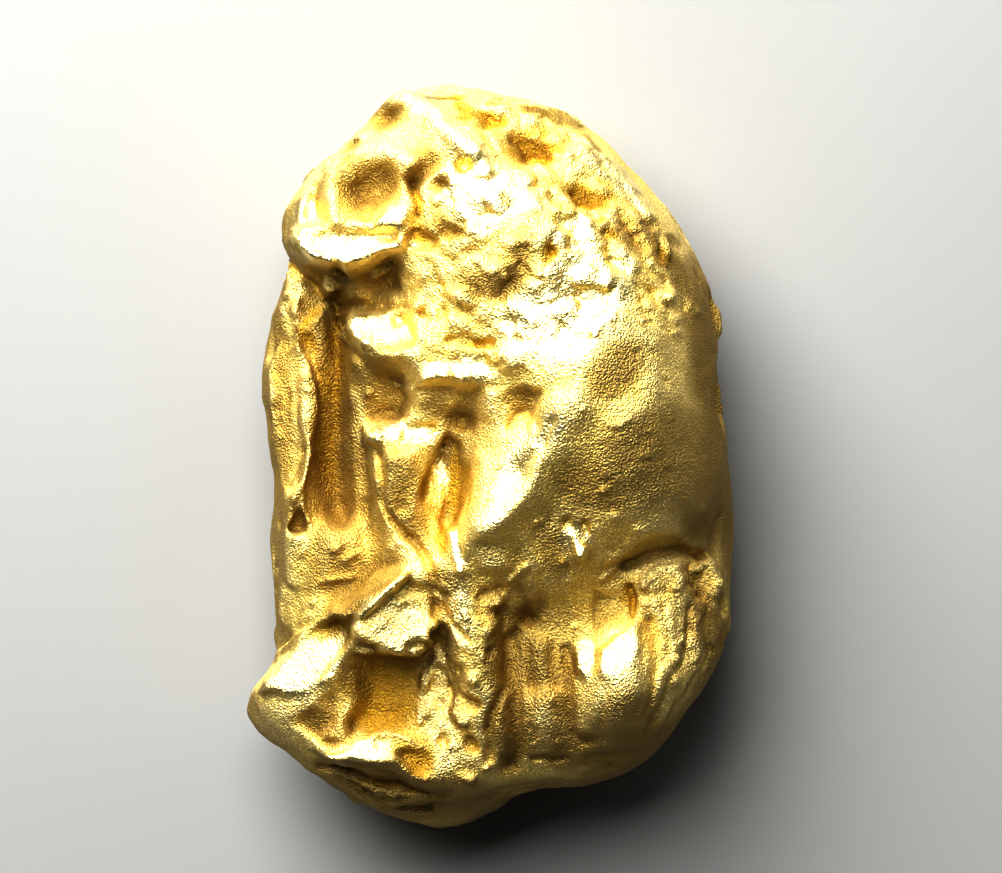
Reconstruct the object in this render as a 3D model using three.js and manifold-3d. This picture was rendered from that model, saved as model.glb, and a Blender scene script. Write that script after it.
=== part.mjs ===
// A placer gold nugget: one solid piece of native gold, worn round by a stream, lying on its flattened back.
// Millimetres. +Z is up, +Y runs along the nugget's long side, and the origin is the middle of its box,
// at the height of the face that it lies on.
import * as THREE from 'three';
import { ImprovedNoise } from 'three/addons/math/ImprovedNoise.js';
import { mergeVertices } from 'three/addons/utils/BufferGeometryUtils.js';
import Module from 'manifold-3d';

// ---- Driving dimensions ---------------------------------------------------------------------------------
const LENGTH = 15.0; // along Y
const WIDTH = 9.8; // along X
const THICKNESS = 7.2; // along Z, from the resting face to the highest lobe
const MIDDLE = 3.0; // height of the widest section
const FLANK_INSET = 1.5; // how far the flanks draw in from the outline at the top and the bottom
const CELL = 0.325; // spacing of the sampling grid, which sets the facets' size
const SMOOTHING = 0.5; // share of the way that each vertex moves to the middle of its neighbours
const EDGE_ROUNDING = 0.8; // how softly the lobes turn into the flanks
const REST_DEPTH = 0.35; // how much the flattened back takes off the round belly
const MARGIN = 1.0; // empty space that the sampling grid keeps round the nugget
const GOLD = { color: 0xe2ad3d, roughness: 0.32, metalness: 1.0 };

// ---- The outline seen from above ------------------------------------------------------------------------
// Anticlockwise from the tip of the toe. The nicks are where two lobes meet.
const OUTLINE = [
  [-4.9, -4.8], [-4.62, -5.45], [-3.7, -6.05], [-2.3, -7.1], [-1.2, -7.5], [-0.15, -7.25], [0.7, -6.45],
  [1.7, -6.58], [3.05, -6.0], [4.2, -4.4], [4.8, -3.1], [4.9, -1.4], [4.62, 1.1], [4.45, 3.05], [3.3, 5.1],
  [1.75, 6.8], [0.4, 7.35], [-1.0, 7.42], [-1.8, 7.48], [-2.5, 7.05], [-2.7, 6.4], [-3.6, 5.7], [-4.32, 4.5],
  [-4.1, 3.85], [-4.5, 2.9], [-4.5, 1.0], [-4.27, -0.5], [-4.4, -1.5], [-4.2, -3.4], [-4.1, -3.95],
];

// ---- Lobes that the gold is fused from: centre, radii, turn about Z in degrees, and the softness of the j
const LOBES = [
  { name: 'sole', at: [0, 0, 2.4], radii: [5.4, 8.0, 2.4], turn: 0, join: 0 },
  { name: 'belly', at: [2.0, 1.5, 3.6], radii: [3.1, 4.4, 3.7], turn: 4, join: 0.3 },
  { name: 'shoulder', at: [0.6, 4.0, 4.2], radii: [2.9, 3.3, 2.9], turn: 10, join: 0.4 },
  { name: 'head', at: [-2.6, 4.85, 4.4], radii: [2.1, 1.55, 2.3], turn: 25, join: 0.2 },
  { name: 'knob', at: [-1.8, 6.75, 4.6], radii: [0.85, 0.9, 0.9], turn: 0, join: 0.2 },
  { name: 'brow', at: [-1.3, 2.15, 4.7], radii: [1.6, 0.85, 1.9], turn: -12, join: 0.5 },
  { name: 'inner slope', at: [-1.6, 0.2, 3.4], radii: [1.4, 3.2, 2.1], turn: 4, join: 0.3 },
  { name: 'cheek', at: [-0.7, 0.9, 4.0], radii: [1.3, 1.3, 1.95], turn: 0, join: 0.2 },
  { name: 'middle lobe', at: [-1.6, -0.65, 4.5], radii: [0.7, 1.4, 1.6], turn: 6, join: 0.15 },
  { name: 'fold', at: [0.35, -0.55, 4.9], radii: [1.0, 2.1, 2.1], turn: -30, join: 0.2 },
  { name: 'hem of the fold', at: [1.2, -1.8, 4.4], radii: [1.4, 1.3, 1.8], turn: 20, join: 0.6 },
  { name: 'heel', at: [-2.2, -4.7, 2.9], radii: [2.5, 2.4, 1.9], turn: -20, join: 0.3 },
  { name: 'toe', at: [-3.9, -4.75, 3.0], radii: [1.6, 0.95, 1.2], turn: 15, join: 0.3 },
  { name: 'instep', at: [-2.7, -2.8, 3.0], radii: [1.5, 1.0, 2.0], turn: 30, join: 0.3 },
  { name: 'foot', at: [2.8, -3.6, 3.2], radii: [2.5, 3.1, 2.1], turn: 10, join: 0.4 },
  { name: 'knuckle', at: [2.55, -4.45, 4.0], radii: [1.05, 1.6, 2.2], turn: -10, join: 0.3 },
  { name: 'panel', at: [0.9, -4.3, 3.4], radii: [0.8, 2.4, 1.9], turn: 0, join: 0.4 },
  { name: 'block', at: [3.3, -2.5, 4.7], radii: [0.75, 0.6, 0.95], turn: 10, join: 0.35 },
  { name: 'pad', at: [1.5, -5.9, 3.0], radii: [1.4, 1.1, 1.4], turn: 0, join: 0.5 },
];

// ---- Ridges: a round bead along a curve, points with their height, and the bead's radius at each end ----
const RIDGES = [
  { name: 'flange', join: 0.2, radius: [0.45, 0.45],
    path: [[-3.9, 3.4, 3.8], [-4.05, 1.6, 4.5], [-3.85, -0.4, 4.6], [-3.95, -1.8, 4.5], [-3.8, -3.6, 4.1]] },
  { name: 'toe ridge', join: 0.4, radius: [0.45, 0.6],
    path: [[-1.75, -2.4, 5.9], [-2.6, -3.3, 5.4], [-3.5, -4.05, 4.7], [-4.4, -4.7, 3.8]] },
  { name: 'granular seam', join: 0.4, radius: [0.35, 0.5],
    path: [[-0.8, -1.8, 5.9], [-0.35, -3.4, 5.7], [-0.1, -4.9, 5.1], [-0.15, -6.0, 4.2]] },
  { name: 'heel edge', join: 0.2, radius: [0.3, 0.35],
    path: [[-3.6, -5.2, 4.3], [-2.7, -5.75, 4.7], [-1.6, -5.8, 4.8], [-0.5, -6.3, 4.3]] },
  { name: 'crest of the head', join: 0.2, radius: [0.42, 0.4],
    path: [[-1.75, 6.9, 5.3], [-1.0, 6.5, 5.9], [-0.3, 5.8, 6.5]] },
  { name: 'rim', join: 0.3, radius: [0.35, 0.4],
    path: [[1.0, 6.7, 4.8], [2.2, 5.9, 4.9], [3.1, 4.8, 5.1], [3.8, 3.5, 5.4]] },
];

// ---- Hollows: ellipsoids taken away from above ----------------------------------------------------------
const HOLLOWS = [
  { name: 'crater', at: [-2.5, 5.1, 6.9], radii: [0.95, 0.85, 0.9], turn: 0, join: 0.15 },
  { name: 'pocket', at: [-0.85, -0.7, 6.3], radii: [0.5, 1.05, 1.3], turn: -3, join: 0.2 },
  { name: 'upper cup', at: [0.8, 6.1, 6.3], radii: [0.6, 0.6, 0.9], turn: 0, join: 0.2 },
  { name: 'side cup', at: [1.9, 5.1, 6.5], radii: [0.7, 0.6, 0.8], turn: 0, join: 0.3 },
  { name: 'heel hollow', at: [-2.05, -4.6, 5.4], radii: [0.95, 1.2, 1.0], turn: -10, join: 0.2 },
  { name: 'lip pocket', at: [2.3, -2.75, 6.3], radii: [0.6, 0.4, 1.1], turn: 30, join: 0.15 },
];

// ---- Grooves: trenches cut from above down to a curve ---------------------------------------------------
const GROOVES = [
  { name: 'channel', join: 0.2, radius: [0.42, 0.55],
    path: [[-3.2, 3.3, 4.0], [-3.1, 1.5, 4.2], [-2.95, -0.5, 4.4], [-2.9, -2.0, 4.8]] },
  { name: 'under the head', join: 0.15, radius: [0.22, 0.2],
    path: [[-4.3, 3.7, 4.2], [-3.2, 3.15, 4.4], [-2.2, 3.05, 5.2], [-0.9, 2.75, 6.3]] },
  { name: 'under the lip', join: 0.15, radius: [0.28, 0.25],
    path: [[2.5, -2.2, 5.6], [3.1, -1.8, 5.3], [3.9, -1.75, 4.8], [4.6, -2.2, 4.2]] },
];

// ---- Dents in the flanks and the back, where the gold grew round pebbles that are gone ------------------
const DENTS = [
  { name: 'right flank dent', at: [5.2, 1.4, 2.2], radii: [1.1, 1.6, 0.9], turn: 0, join: 0.4 },
  { name: 'lower right dent', at: [4.2, -4.6, 1.6], radii: [1.2, 1.0, 0.8], turn: 20, join: 0.4 },
  { name: 'toe dent', at: [-3.6, -5.4, 0.8], radii: [1.6, 1.0, 1.0], turn: -30, join: 0.4 },
  { name: 'left flank dent', at: [-4.8, 1.0, 1.6], radii: [0.9, 1.7, 0.8], turn: 0, join: 0.4 },
  { name: 'neck dent', at: [-4.2, 3.9, 2.2], radii: [0.9, 0.8, 0.8], turn: 0, join: 0.3 },
  { name: 'top dent', at: [1.6, 7.0, 2.0], radii: [1.5, 0.9, 0.8], turn: -30, join: 0.4 },
  { name: 'back dent', at: [1.9, 3.7, -0.2], radii: [1.3, 1.0, 0.9], turn: 30, join: 0.4 },
  { name: 'back furrow', at: [-1.8, -2.9, -0.2], radii: [0.8, 1.7, 0.8], turn: 40, join: 0.4 },
];

// ---- Distances: negative inside, positive outside -------------------------------------------------------
const softMin = (a, b, k) => {
  if (k <= 0) return Math.min(a, b);
  const h = Math.max(k - Math.abs(a - b), 0) / k;
  return Math.min(a, b) - (h * h * k) / 4;
};
const softMax = (a, b, k) => -softMin(-a, -b, k);

// An open ellipsoid goes straight up from its middle, so that a hollow never closes over.
function toEllipsoid(p, lobe) {
  const local = p.clone().sub(lobe.centre).applyQuaternion(lobe.inverse);
  if (lobe.open) local.z = Math.min(local.z, 0);
  const scaled = local.clone().divide(lobe.size).length();
  const slope = local.divide(lobe.size).divide(lobe.size).length();
  return slope === 0 ? -lobe.size.z : (scaled * (scaled - 1)) / slope;
}

const UP = new THREE.Vector3(0, 0, 1);
function prepareEllipsoid(lobe) {
  const turn = new THREE.Quaternion().setFromAxisAngle(UP, THREE.MathUtils.degToRad(lobe.turn));
  return {
    ...lobe,
    centre: new THREE.Vector3(...lobe.at),
    size: new THREE.Vector3(...lobe.radii),
    inverse: turn.invert(),
  };
}

const BEAD_STEPS = 16; // straight steps that a ridge's or a groove's curve is measured along
function prepareBead(bead) {
  const curve = new THREE.CatmullRomCurve3(bead.path.map((point) => new THREE.Vector3(...point)));
  return { ...bead, points: curve.getSpacedPoints(BEAD_STEPS) };
}

// A ridge is a wall that stands on the middle plane and ends in the bead.
// A groove is the bead and all that is above it.
function toBead(p, bead) {
  let nearest = Infinity;
  for (let i = 0; i < BEAD_STEPS; i++) {
    const start = bead.points[i];
    const end = bead.points[i + 1];
    const dx = end.x - start.x;
    const dy = end.y - start.y;
    const reached = ((p.x - start.x) * dx + (p.y - start.y) * dy) / (dx * dx + dy * dy);
    const along = THREE.MathUtils.clamp(reached, 0, 1);
    const radius = THREE.MathUtils.lerp(bead.radius[0], bead.radius[1], (i + along) / BEAD_STEPS);
    const top = THREE.MathUtils.lerp(start.z, end.z, along);
    const above = Math.max(p.z - top, 0) + Math.min(p.z - MIDDLE, 0);
    const dz = bead.open ? Math.min(p.z - top, 0) : above;
    const away = Math.hypot(p.x - start.x - along * dx, p.y - start.y - along * dy, dz);
    nearest = Math.min(nearest, away - radius);
  }
  return nearest;
}

const OUTLINE_STEPS = 180; // straight steps that the closed outline is measured along
const corners = OUTLINE.map(([x, y]) => new THREE.Vector3(x, y, 0));
const outline = new THREE.CatmullRomCurve3(corners, true, 'centripetal').getPoints(OUTLINE_STEPS);

function toOutline(p) {
  let nearest = Infinity;
  let inside = false;
  for (let i = 0; i < OUTLINE_STEPS; i++) {
    const a = outline[i];
    const b = outline[i + 1];
    const dx = b.x - a.x;
    const dy = b.y - a.y;
    const reached = ((p.x - a.x) * dx + (p.y - a.y) * dy) / (dx * dx + dy * dy);
    const along = THREE.MathUtils.clamp(reached, 0, 1);
    nearest = Math.min(nearest, Math.hypot(p.x - a.x - along * dx, p.y - a.y - along * dy));
    if (a.y > p.y !== b.y > p.y && p.x < (dx * (p.y - a.y)) / dy + a.x) inside = !inside;
  }
  return inside ? -nearest : nearest;
}

// The flanks bulge: they reach the outline at the widest section, and draw in above and below it.
function toFlank(p) {
  const level = (p.z - MIDDLE) / (THICKNESS - MIDDLE);
  return toOutline(p) + FLANK_INSET * level * level;
}

// Stream wear and crystal growth leave no surface even: slow waves over the whole piece, quicker ones on top.
const noise = new ImprovedNoise();
const WAVES = [
  { size: 2.6, height: 0.16, shift: new THREE.Vector3(3.1, 1.7, 5.9) },
  { size: 1.1, height: 0.09, shift: new THREE.Vector3(10.4, 1.7, 5.9) },
];
function unevenness(p) {
  let sum = 0;
  for (const { size, height, shift } of WAVES) {
    const { x, y, z } = p.clone().divideScalar(size).add(shift);
    sum += height * noise.noise(x, y, z);
  }
  return sum;
}

const lobes = LOBES.map(prepareEllipsoid);
const hollows = HOLLOWS.map((hollow) => ({ ...prepareEllipsoid(hollow), open: true }));
const dents = DENTS.map(prepareEllipsoid);
const ridges = RIDGES.map(prepareBead);
const grooves = GROOVES.map((groove) => ({ ...prepareBead(groove), open: true }));

function nuggetField(p) {
  let d = Infinity;
  for (const lobe of lobes) d = softMin(d, toEllipsoid(p, lobe), lobe.join);
  for (const ridge of ridges) d = softMin(d, toBead(p, ridge), ridge.join);
  d = softMax(d, toFlank(p), EDGE_ROUNDING);
  for (const hollow of hollows) d = softMax(d, -toEllipsoid(p, hollow), hollow.join);
  for (const groove of grooves) d = softMax(d, -toBead(p, groove), groove.join);
  for (const dent of dents) d = softMax(d, -toEllipsoid(p, dent), dent.join);
  return d + unevenness(p);
}

// ---- Surface net: one vertex in each grid cell that the surface crosses, one quad round each crossed grid
const CUBE = [0, 1, 2, 3, 4, 5, 6, 7].map((c) => new THREE.Vector3(c & 1, (c >> 1) & 1, c >> 2));
const CUBE_EDGES = [];
for (let a = 0; a < 8; a++) {
  for (const bit of [1, 2, 4]) if (!(a & bit)) CUBE_EDGES.push([a, a | bit]);
}
const AXES = [[1, 0, 0], [0, 1, 0], [0, 0, 1]];
const AROUND = [[0, 0], [1, 0], [1, 1], [0, 1]]; // the cells round a grid edge, in order

// Averages the samples with their neighbours along each axis, so that nothing is thinner than the grid holds.
function soften(values, strides) {
  for (const stride of strides) {
    const before = values.slice();
    for (let at = stride; at < values.length - stride; at++) {
      values[at] = (before[at - stride] + 2 * before[at] + before[at + stride]) / 4;
    }
  }
}

function surfaceNet(field, low, high, cell) {
  const [nx, ny, nz] = high.clone().sub(low).divideScalar(cell).ceil().addScalar(1).toArray();
  const index = (i, j, k) => i + nx * (j + ny * k);
  const everyCell = (from, visit) => {
    for (let k = from; k < nz - 1; k++)
      for (let j = from; j < ny - 1; j++)
        for (let i = from; i < nx - 1; i++) visit(i, j, k);
  };
  const values = new Float32Array(nx * ny * nz).map((_, at) => {
    const place = new THREE.Vector3(at % nx, Math.floor(at / nx) % ny, Math.floor(at / nx / ny));
    return field(place.multiplyScalar(cell).add(low));
  });

  soften(values, [1, nx, nx * ny]);

  const vertexOf = new Map();
  const positions = [];
  everyCell(0, (i, j, k) => {
    const at = CUBE.map(({ x, y, z }) => values[index(i + x, j + y, k + z)]);
    const crossings = CUBE_EDGES.filter(([a, b]) => at[a] < 0 !== at[b] < 0);
    if (!crossings.length) return;
    const sum = new THREE.Vector3();
    for (const [a, b] of crossings) sum.add(CUBE[a].clone().lerp(CUBE[b], at[a] / (at[a] - at[b])));
    const middle = sum.divideScalar(crossings.length).add(new THREE.Vector3(i, j, k));
    vertexOf.set(index(i, j, k), positions.length / 3);
    positions.push(...middle.multiplyScalar(cell).add(low).toArray());
  });

  const triangles = [];
  everyCell(1, (i, j, k) => {
    AXES.forEach(([x, y, z], axis) => {
      const inside = values[index(i, j, k)] < 0;
      if (inside === values[index(i + x, j + y, k + z)] < 0) return;
      const u = AXES[(axis + 1) % 3];
      const v = AXES[(axis + 2) % 3];
      const back = (n, s, t) => s * u[n] + t * v[n];
      const cellOf = ([s, t]) => index(i - back(0, s, t), j - back(1, s, t), k - back(2, s, t));
      const ring = AROUND.map((step) => vertexOf.get(cellOf(step)));
      if (!inside) ring.reverse();
      triangles.push(ring[0], ring[1], ring[2], ring[0], ring[2], ring[3]);
    });
  });
  const net = new THREE.BufferGeometry();
  net.setAttribute('position', new THREE.BufferAttribute(new Float32Array(positions), 3));
  net.setIndex(triangles);
  return net;
}

// Each vertex moves a share of the way to the middle of its neighbours, which takes out the grid's own steps.
function relax(net, share) {
  const position = net.getAttribute('position');
  const sums = Array.from({ length: position.count }, () => ({ total: new THREE.Vector3(), count: 0 }));
  const point = new THREE.Vector3();
  for (let t = 0; t < net.index.count; t++) {
    const from = net.index.getX(t);
    const to = net.index.getX(t % 3 === 2 ? t - 2 : t + 1);
    sums[from].total.add(point.fromBufferAttribute(position, to));
    sums[from].count++;
  }
  sums.forEach(({ total, count }, i) => {
    point.fromBufferAttribute(position, i).lerp(total.divideScalar(count), share);
    position.setXYZ(i, ...point.toArray());
  });
  return net;
}

// ---- Solids ---------------------------------------------------------------------------------------------
const wasm = await Module();
wasm.setup();

function toSolid(geometry) {
  const bare = geometry.clone();
  bare.deleteAttribute('normal');
  bare.deleteAttribute('uv');
  const merged = mergeVertices(bare);
  const vertProperties = merged.attributes.position.array;
  const triVerts = new Uint32Array(merged.index.array);
  return new wasm.Manifold(new wasm.Mesh({ numProp: 3, vertProperties, triVerts }));
}

function toGeometry(solid) {
  const { vertProperties, triVerts } = solid.getMesh();
  const geometry = new THREE.BufferGeometry();
  geometry.setAttribute('position', new THREE.BufferAttribute(vertProperties, 3));
  geometry.setIndex(new THREE.BufferAttribute(triVerts, 1));
  return geometry;
}

// The rough shape, with a flat face cut under it to lie on, brought to its exact length, width and thickness.
function makeNugget() {
  const low = new THREE.Vector3(-WIDTH / 2 - MARGIN, -LENGTH / 2 - MARGIN, -MARGIN);
  const high = new THREE.Vector3(WIDTH / 2 + MARGIN, LENGTH / 2 + MARGIN, THICKNESS + MARGIN);
  const rough = toSolid(relax(surfaceNet(nuggetField, low, high, CELL), SMOOTHING));
  const below = new THREE.BoxGeometry(2 * WIDTH, 2 * LENGTH, 2 * MARGIN).translate(0, 0, REST_DEPTH - MARGIN);
  const geometry = toGeometry(rough.subtract(toSolid(below)));
  geometry.computeBoundingBox();
  const { min, max } = geometry.boundingBox;
  geometry.translate(-(min.x + max.x) / 2, -(min.y + max.y) / 2, -min.z);
  geometry.scale(WIDTH / (max.x - min.x), LENGTH / (max.y - min.y), THICKNESS / (max.z - min.z));
  return geometry;
}

const nugget = new THREE.Mesh(makeNugget(), new THREE.MeshStandardMaterial(GOLD));
nugget.name = 'nugget';

const group = new THREE.Group();
group.add(nugget);
export default group;
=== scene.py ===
# %% [markdown]
# A gold nugget from a stream bed, about as long as a fingernail is wide. The real thing is one piece of
# native gold: several crystalline lobes grown together, then rolled and hammered by pebbles until the
# crests are burnished and only the hollows keep their rough growth. The work here follows that history. The
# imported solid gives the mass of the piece, strokes carve its folds and pockets, a scatter of small grains
# builds up the rough patches, fine relief breaks the surface into crystal faces, and the metal itself comes
# last.

# %% Load the frame that the looks are built round
import math

import bmesh
import bpy
import numpy as np
from mathutils import Matrix, Vector, noise


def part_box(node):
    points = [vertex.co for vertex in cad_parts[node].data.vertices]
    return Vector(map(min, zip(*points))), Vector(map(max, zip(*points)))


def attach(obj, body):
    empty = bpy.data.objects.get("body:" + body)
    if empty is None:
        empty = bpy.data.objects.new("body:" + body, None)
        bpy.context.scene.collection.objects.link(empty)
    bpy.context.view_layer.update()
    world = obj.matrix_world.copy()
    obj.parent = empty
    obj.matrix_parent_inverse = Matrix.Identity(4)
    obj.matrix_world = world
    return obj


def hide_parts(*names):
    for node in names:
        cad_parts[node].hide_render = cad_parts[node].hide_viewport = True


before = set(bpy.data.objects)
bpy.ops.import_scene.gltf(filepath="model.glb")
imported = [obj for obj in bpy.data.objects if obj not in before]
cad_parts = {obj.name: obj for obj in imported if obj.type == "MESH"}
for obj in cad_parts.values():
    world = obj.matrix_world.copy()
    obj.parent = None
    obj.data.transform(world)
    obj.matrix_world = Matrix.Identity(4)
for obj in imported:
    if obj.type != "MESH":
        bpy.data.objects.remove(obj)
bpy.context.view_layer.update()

MM = 0.001  # everything on the bench is worked in millimetres and made metres at the end
low, high = (np.array(corner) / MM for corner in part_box("nugget"))
size = high - low
scene = bpy.context.scene
print("nugget", size.round(2), "mm")

# %% [markdown]
# The camera looks straight down, as over a specimen on a bench. A long lens a hand's width away keeps the
# far and near sides of so small a thing at nearly the same scale, which is how a macro picture shows it.

# %% Camera
LENS = 200  # millimetres of focal length
SENSOR = 36
VIEW_WIDTH = 2.045 * size[0]  # how much of the bench the picture takes in, from side to side
AIM = (0.19, 0.42)  # the middle of the picture, a little off the middle of the piece
FOCUS_HEIGHT = 0.51 * size[2]
distance = VIEW_WIDTH / SENSOR * LENS
camera = bpy.data.objects.new("camera", bpy.data.cameras.new("camera"))
camera.data.lens = LENS
camera.data.sensor_width = SENSOR
camera.data.clip_start = 0.001
camera.location = Vector((*AIM, FOCUS_HEIGHT + distance)) * MM
scene.collection.objects.link(camera)
scene.camera = camera
print("camera", [round(v, 4) for v in camera.location])

# %% [markdown]
# Polished metal shows its surroundings rather than a colour of its own. One large soft box beyond the head
# end gives each face that leans towards it a white highlight, and the dim grey room gives all the others
# their deep gold. A second one, low on the right and far weaker, only keeps that edge from going black. Two
# lights of the same strength would flatten the folds.

# %% Floor, room and lights
def plain(name, colour, roughness):
    material = bpy.data.materials.new(name)
    material.use_nodes = True
    shader = material.node_tree.nodes["Principled BSDF"]
    shader.inputs["Base Color"].default_value = (*colour, 1)
    shader.inputs["Roughness"].default_value = roughness
    return material


def soft_box(name, place, aim, width, depth, power):
    light = bpy.data.lights.new(name, "AREA")
    light.shape = "RECTANGLE"
    light.size, light.size_y, light.energy = width * MM, depth * MM, power
    lamp = bpy.data.objects.new(name, light)
    lamp.location = Vector(place) * MM
    lamp.rotation_euler = (Vector(aim) - Vector(place)).to_track_quat("-Z", "Y").to_euler()
    scene.collection.objects.link(lamp)


FLOOR = 600
CARD = (0.36, 0.36, 0.352)
ROOM = (0.07, 0.07, 0.066)
MIDDLE = (0, 0, 4)  # where the lights are aimed
bpy.ops.mesh.primitive_plane_add(size=FLOOR * MM)
floor = bpy.context.object
floor.name = "floor"
floor.data.materials.append(plain("pale_card", CARD, 0.7))

soft_box("key", (-26, 56, 60), MIDDLE, 66, 120, 0.3)
soft_box("rim", (40, 70, 16), MIDDLE, 40, 34, 0.02)
scene.world = bpy.data.worlds.new("room")
scene.world.use_nodes = True
scene.world.node_tree.nodes["Background"].inputs["Color"].default_value = (*ROOM, 1)
scene.view_settings.view_transform = "Standard"
scene.view_settings.gamma = 0.62  # the contrast of a macro picture
print("lit")

# %% [markdown]
# Nodes are written as sums. A small class wraps a socket, so that `1 - mask * 0.5` adds its own Math nodes,
# and one method makes any other node from its type, its settings and what is plugged into it.

# %% The node writer
NOWHERE = (0, 0, 0)


class Wire:
    """An output socket that can be used in a sum like a number."""

    def __init__(self, tree, socket):
        self.tree, self.socket = tree, socket

    def __add__(self, other):
        return self.tree.maths("ADD", self, other)

    def __sub__(self, other):
        return self.tree.maths("SUBTRACT", self, other)

    def __rsub__(self, other):
        return self.tree.maths("SUBTRACT", other, self)

    def __mul__(self, other):
        return self.tree.maths("MULTIPLY", self, other)

    def __pow__(self, other):
        return self.tree.maths("POWER", self, other)

    __radd__, __rmul__ = __add__, __mul__

    def between(self, start, end):
        """0 up to start, 1 from end on, and smooth between them."""
        ranged = {0: self, 1: start, 2: end}
        return self.tree.node("ShaderNodeMapRange", {"interpolation_type": "SMOOTHSTEP"}, ranged)


class Tree:
    """Writes nodes into a node tree."""

    def __init__(self, nodes_and_links):
        self.nodes, self.links = nodes_and_links.nodes, nodes_and_links.links

    def node(self, kind, settings=None, values=None, output=0):
        node = self.nodes.new(kind)
        for name, value in (settings or {}).items():
            setattr(node, name, value)
        for key, value in (values or {}).items():
            socket = self.find(node.inputs, key)
            if isinstance(value, Wire):
                self.links.new(value.socket, socket)
            else:
                socket.default_value = value
        return Wire(self, self.find(node.outputs, output))

    def find(self, sockets, key):
        if isinstance(key, int):
            return sockets[key]
        return next((s for s in sockets if s.identifier == key), None) or sockets[key]

    def mix(self, factor, a, b, kind="Color"):
        data_type = {"Color": "RGBA", "Vector": "VECTOR", "Float": "FLOAT"}[kind]
        values = {"Factor_Float": factor, f"A_{kind}": a, f"B_{kind}": b}
        return self.node("ShaderNodeMix", {"data_type": data_type}, values, f"Result_{kind}")

    def maths(self, operation, *values):
        return self.node("ShaderNodeMath", {"operation": operation}, dict(enumerate(values)))

    def vector(self, operation, *values, output=0):
        return self.node("ShaderNodeVectorMath", {"operation": operation}, dict(enumerate(values)), output)

    def scaled(self, vector, amount):
        return self.vector("SCALE", vector, NOWHERE, NOWHERE, amount)


# %% [markdown]
# The blank. The imported solid has flat facets, and a sculptor needs an even skin of small faces instead. So
# a copy is welded, rounded with a subdivision surface, and cast again as a grid of small quads by a voxel
# remesh. The copy is scaled to millimetres first, because the remesher can't make voxels this small in
# metres. Starting from the solid keeps its sizes, which a fresh sculpture would have to match by eye.

# %% Cast the blank
BLANK_VOXEL = 0.065
WELD = 0.001  # how near two corners of the solid are when they are the same corner


def apply_modifiers(piece):
    graph = bpy.context.evaluated_depsgraph_get()
    mesh = bpy.data.meshes.new_from_object(piece.evaluated_get(graph))
    piece.modifiers.clear()
    piece.data = mesh


def remesh(piece, voxel):
    modifier = piece.modifiers.new("cast", "REMESH")
    modifier.mode = "VOXEL"
    modifier.voxel_size = voxel
    apply_modifiers(piece)


def add_piece(name, mesh):
    piece = bpy.data.objects.new(name, mesh)
    scene.collection.objects.link(piece)
    return piece


body = bmesh.new()
body.from_mesh(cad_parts["nugget"].data)
bmesh.ops.transform(body, matrix=Matrix.Scale(1 / MM, 4), verts=body.verts)
bmesh.ops.remove_doubles(body, verts=body.verts, dist=WELD)
nugget = add_piece("gold_nugget", bpy.data.meshes.new("gold_nugget"))
body.to_mesh(nugget.data)
body.free()
rounding = nugget.modifiers.new("round", "SUBSURF")
rounding.levels = rounding.render_levels = 1
remesh(nugget, BLANK_VOXEL)
print("blank", len(nugget.data.vertices), "points")

# %% [markdown]
# Carving. Blender's sculpt brushes can't be used from a script, but each brush is only a rule that moves
# points by how near they are to a stroke. Five rules are enough here. A line raises a ridge or sinks a
# crease, with its own width on each side, so that a ledge can be gentle above and steep below. A spot
# swells or sinks. A face is pressed flat at a chosen tilt inside an oval, and a plate does the same inside
# a drawn outline. The last rule presses an oval flat along the slope it already has. Places are millimetres
# seen from above.

# %% Read and write the points of a mesh
def read(mesh, name="position", length=3):
    values = np.empty(len(mesh.vertices) * length, np.float32)
    if name == "normal":
        mesh.vertices.foreach_get("normal", values)
    else:
        mesh.attributes[name].data.foreach_get("vector" if length == 3 else "value", values)
    return values.reshape(-1, length).squeeze()


def write(mesh, name, values):
    if name == "position":
        mesh.vertices.foreach_set("co", values.astype(np.float32).ravel())
        mesh.update()
        return
    attribute = mesh.attributes.get(name) or mesh.attributes.new(name, "FLOAT", "POINT")
    attribute.data.foreach_set("value", values.astype(np.float32))


print("points are read and written as arrays")

# %% The shapes that strokes are made of
def smooth_step(value, start, end):
    t = np.clip((value - start) / (end - start), 0, 1)
    return t * t * (3 - 2 * t)


def bell(t, crisp):
    """1 at the middle and 0 at the edge: a soft dome, or a tent as crisp goes to 1."""
    t = np.clip(t, 0, 1)
    return (1 - crisp) * (0.5 + 0.5 * np.cos(np.pi * t)) + crisp * (1 - t)


CURVE_STEPS = 5


def curve(points):
    """A smooth line through the points, as a Catmull-Rom spline."""
    points = np.array(points, float)
    if len(points) < 3:
        return points
    ends = np.vstack([2 * points[0] - points[1], points, 2 * points[-1] - points[-2]])
    t = np.linspace(0, 1, CURVE_STEPS, endpoint=False)[:, None]
    spans = []
    for a, b, c, d in zip(ends, ends[1:], ends[2:], ends[3:]):
        spans.append(0.5 * (2 * b + (c - a) * t + (2 * a - 5 * b + 4 * c - d) * t**2
                            + (3 * b - a - 3 * c + d) * t**3))
    return np.vstack([*spans, points[-1:]])


def reach_of(points, path):
    """Distance from a line to each point, positive on the left of its direction of travel."""
    nearest = np.full(len(points), np.inf)
    signed = np.full(len(points), np.inf)
    for a, b in zip(path, path[1:]):
        d = b - a
        t = np.clip((points - a) @ d / (d @ d), 0, 1)
        off = points - a - t[:, None] * d
        away = np.hypot(*off.T)
        side = np.where(d[0] * off[:, 1] - d[1] * off[:, 0] >= 0, 1, -1)
        closer = away < nearest
        nearest = np.where(closer, away, nearest)
        signed = np.where(closer, away * side, signed)
    return signed


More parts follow.
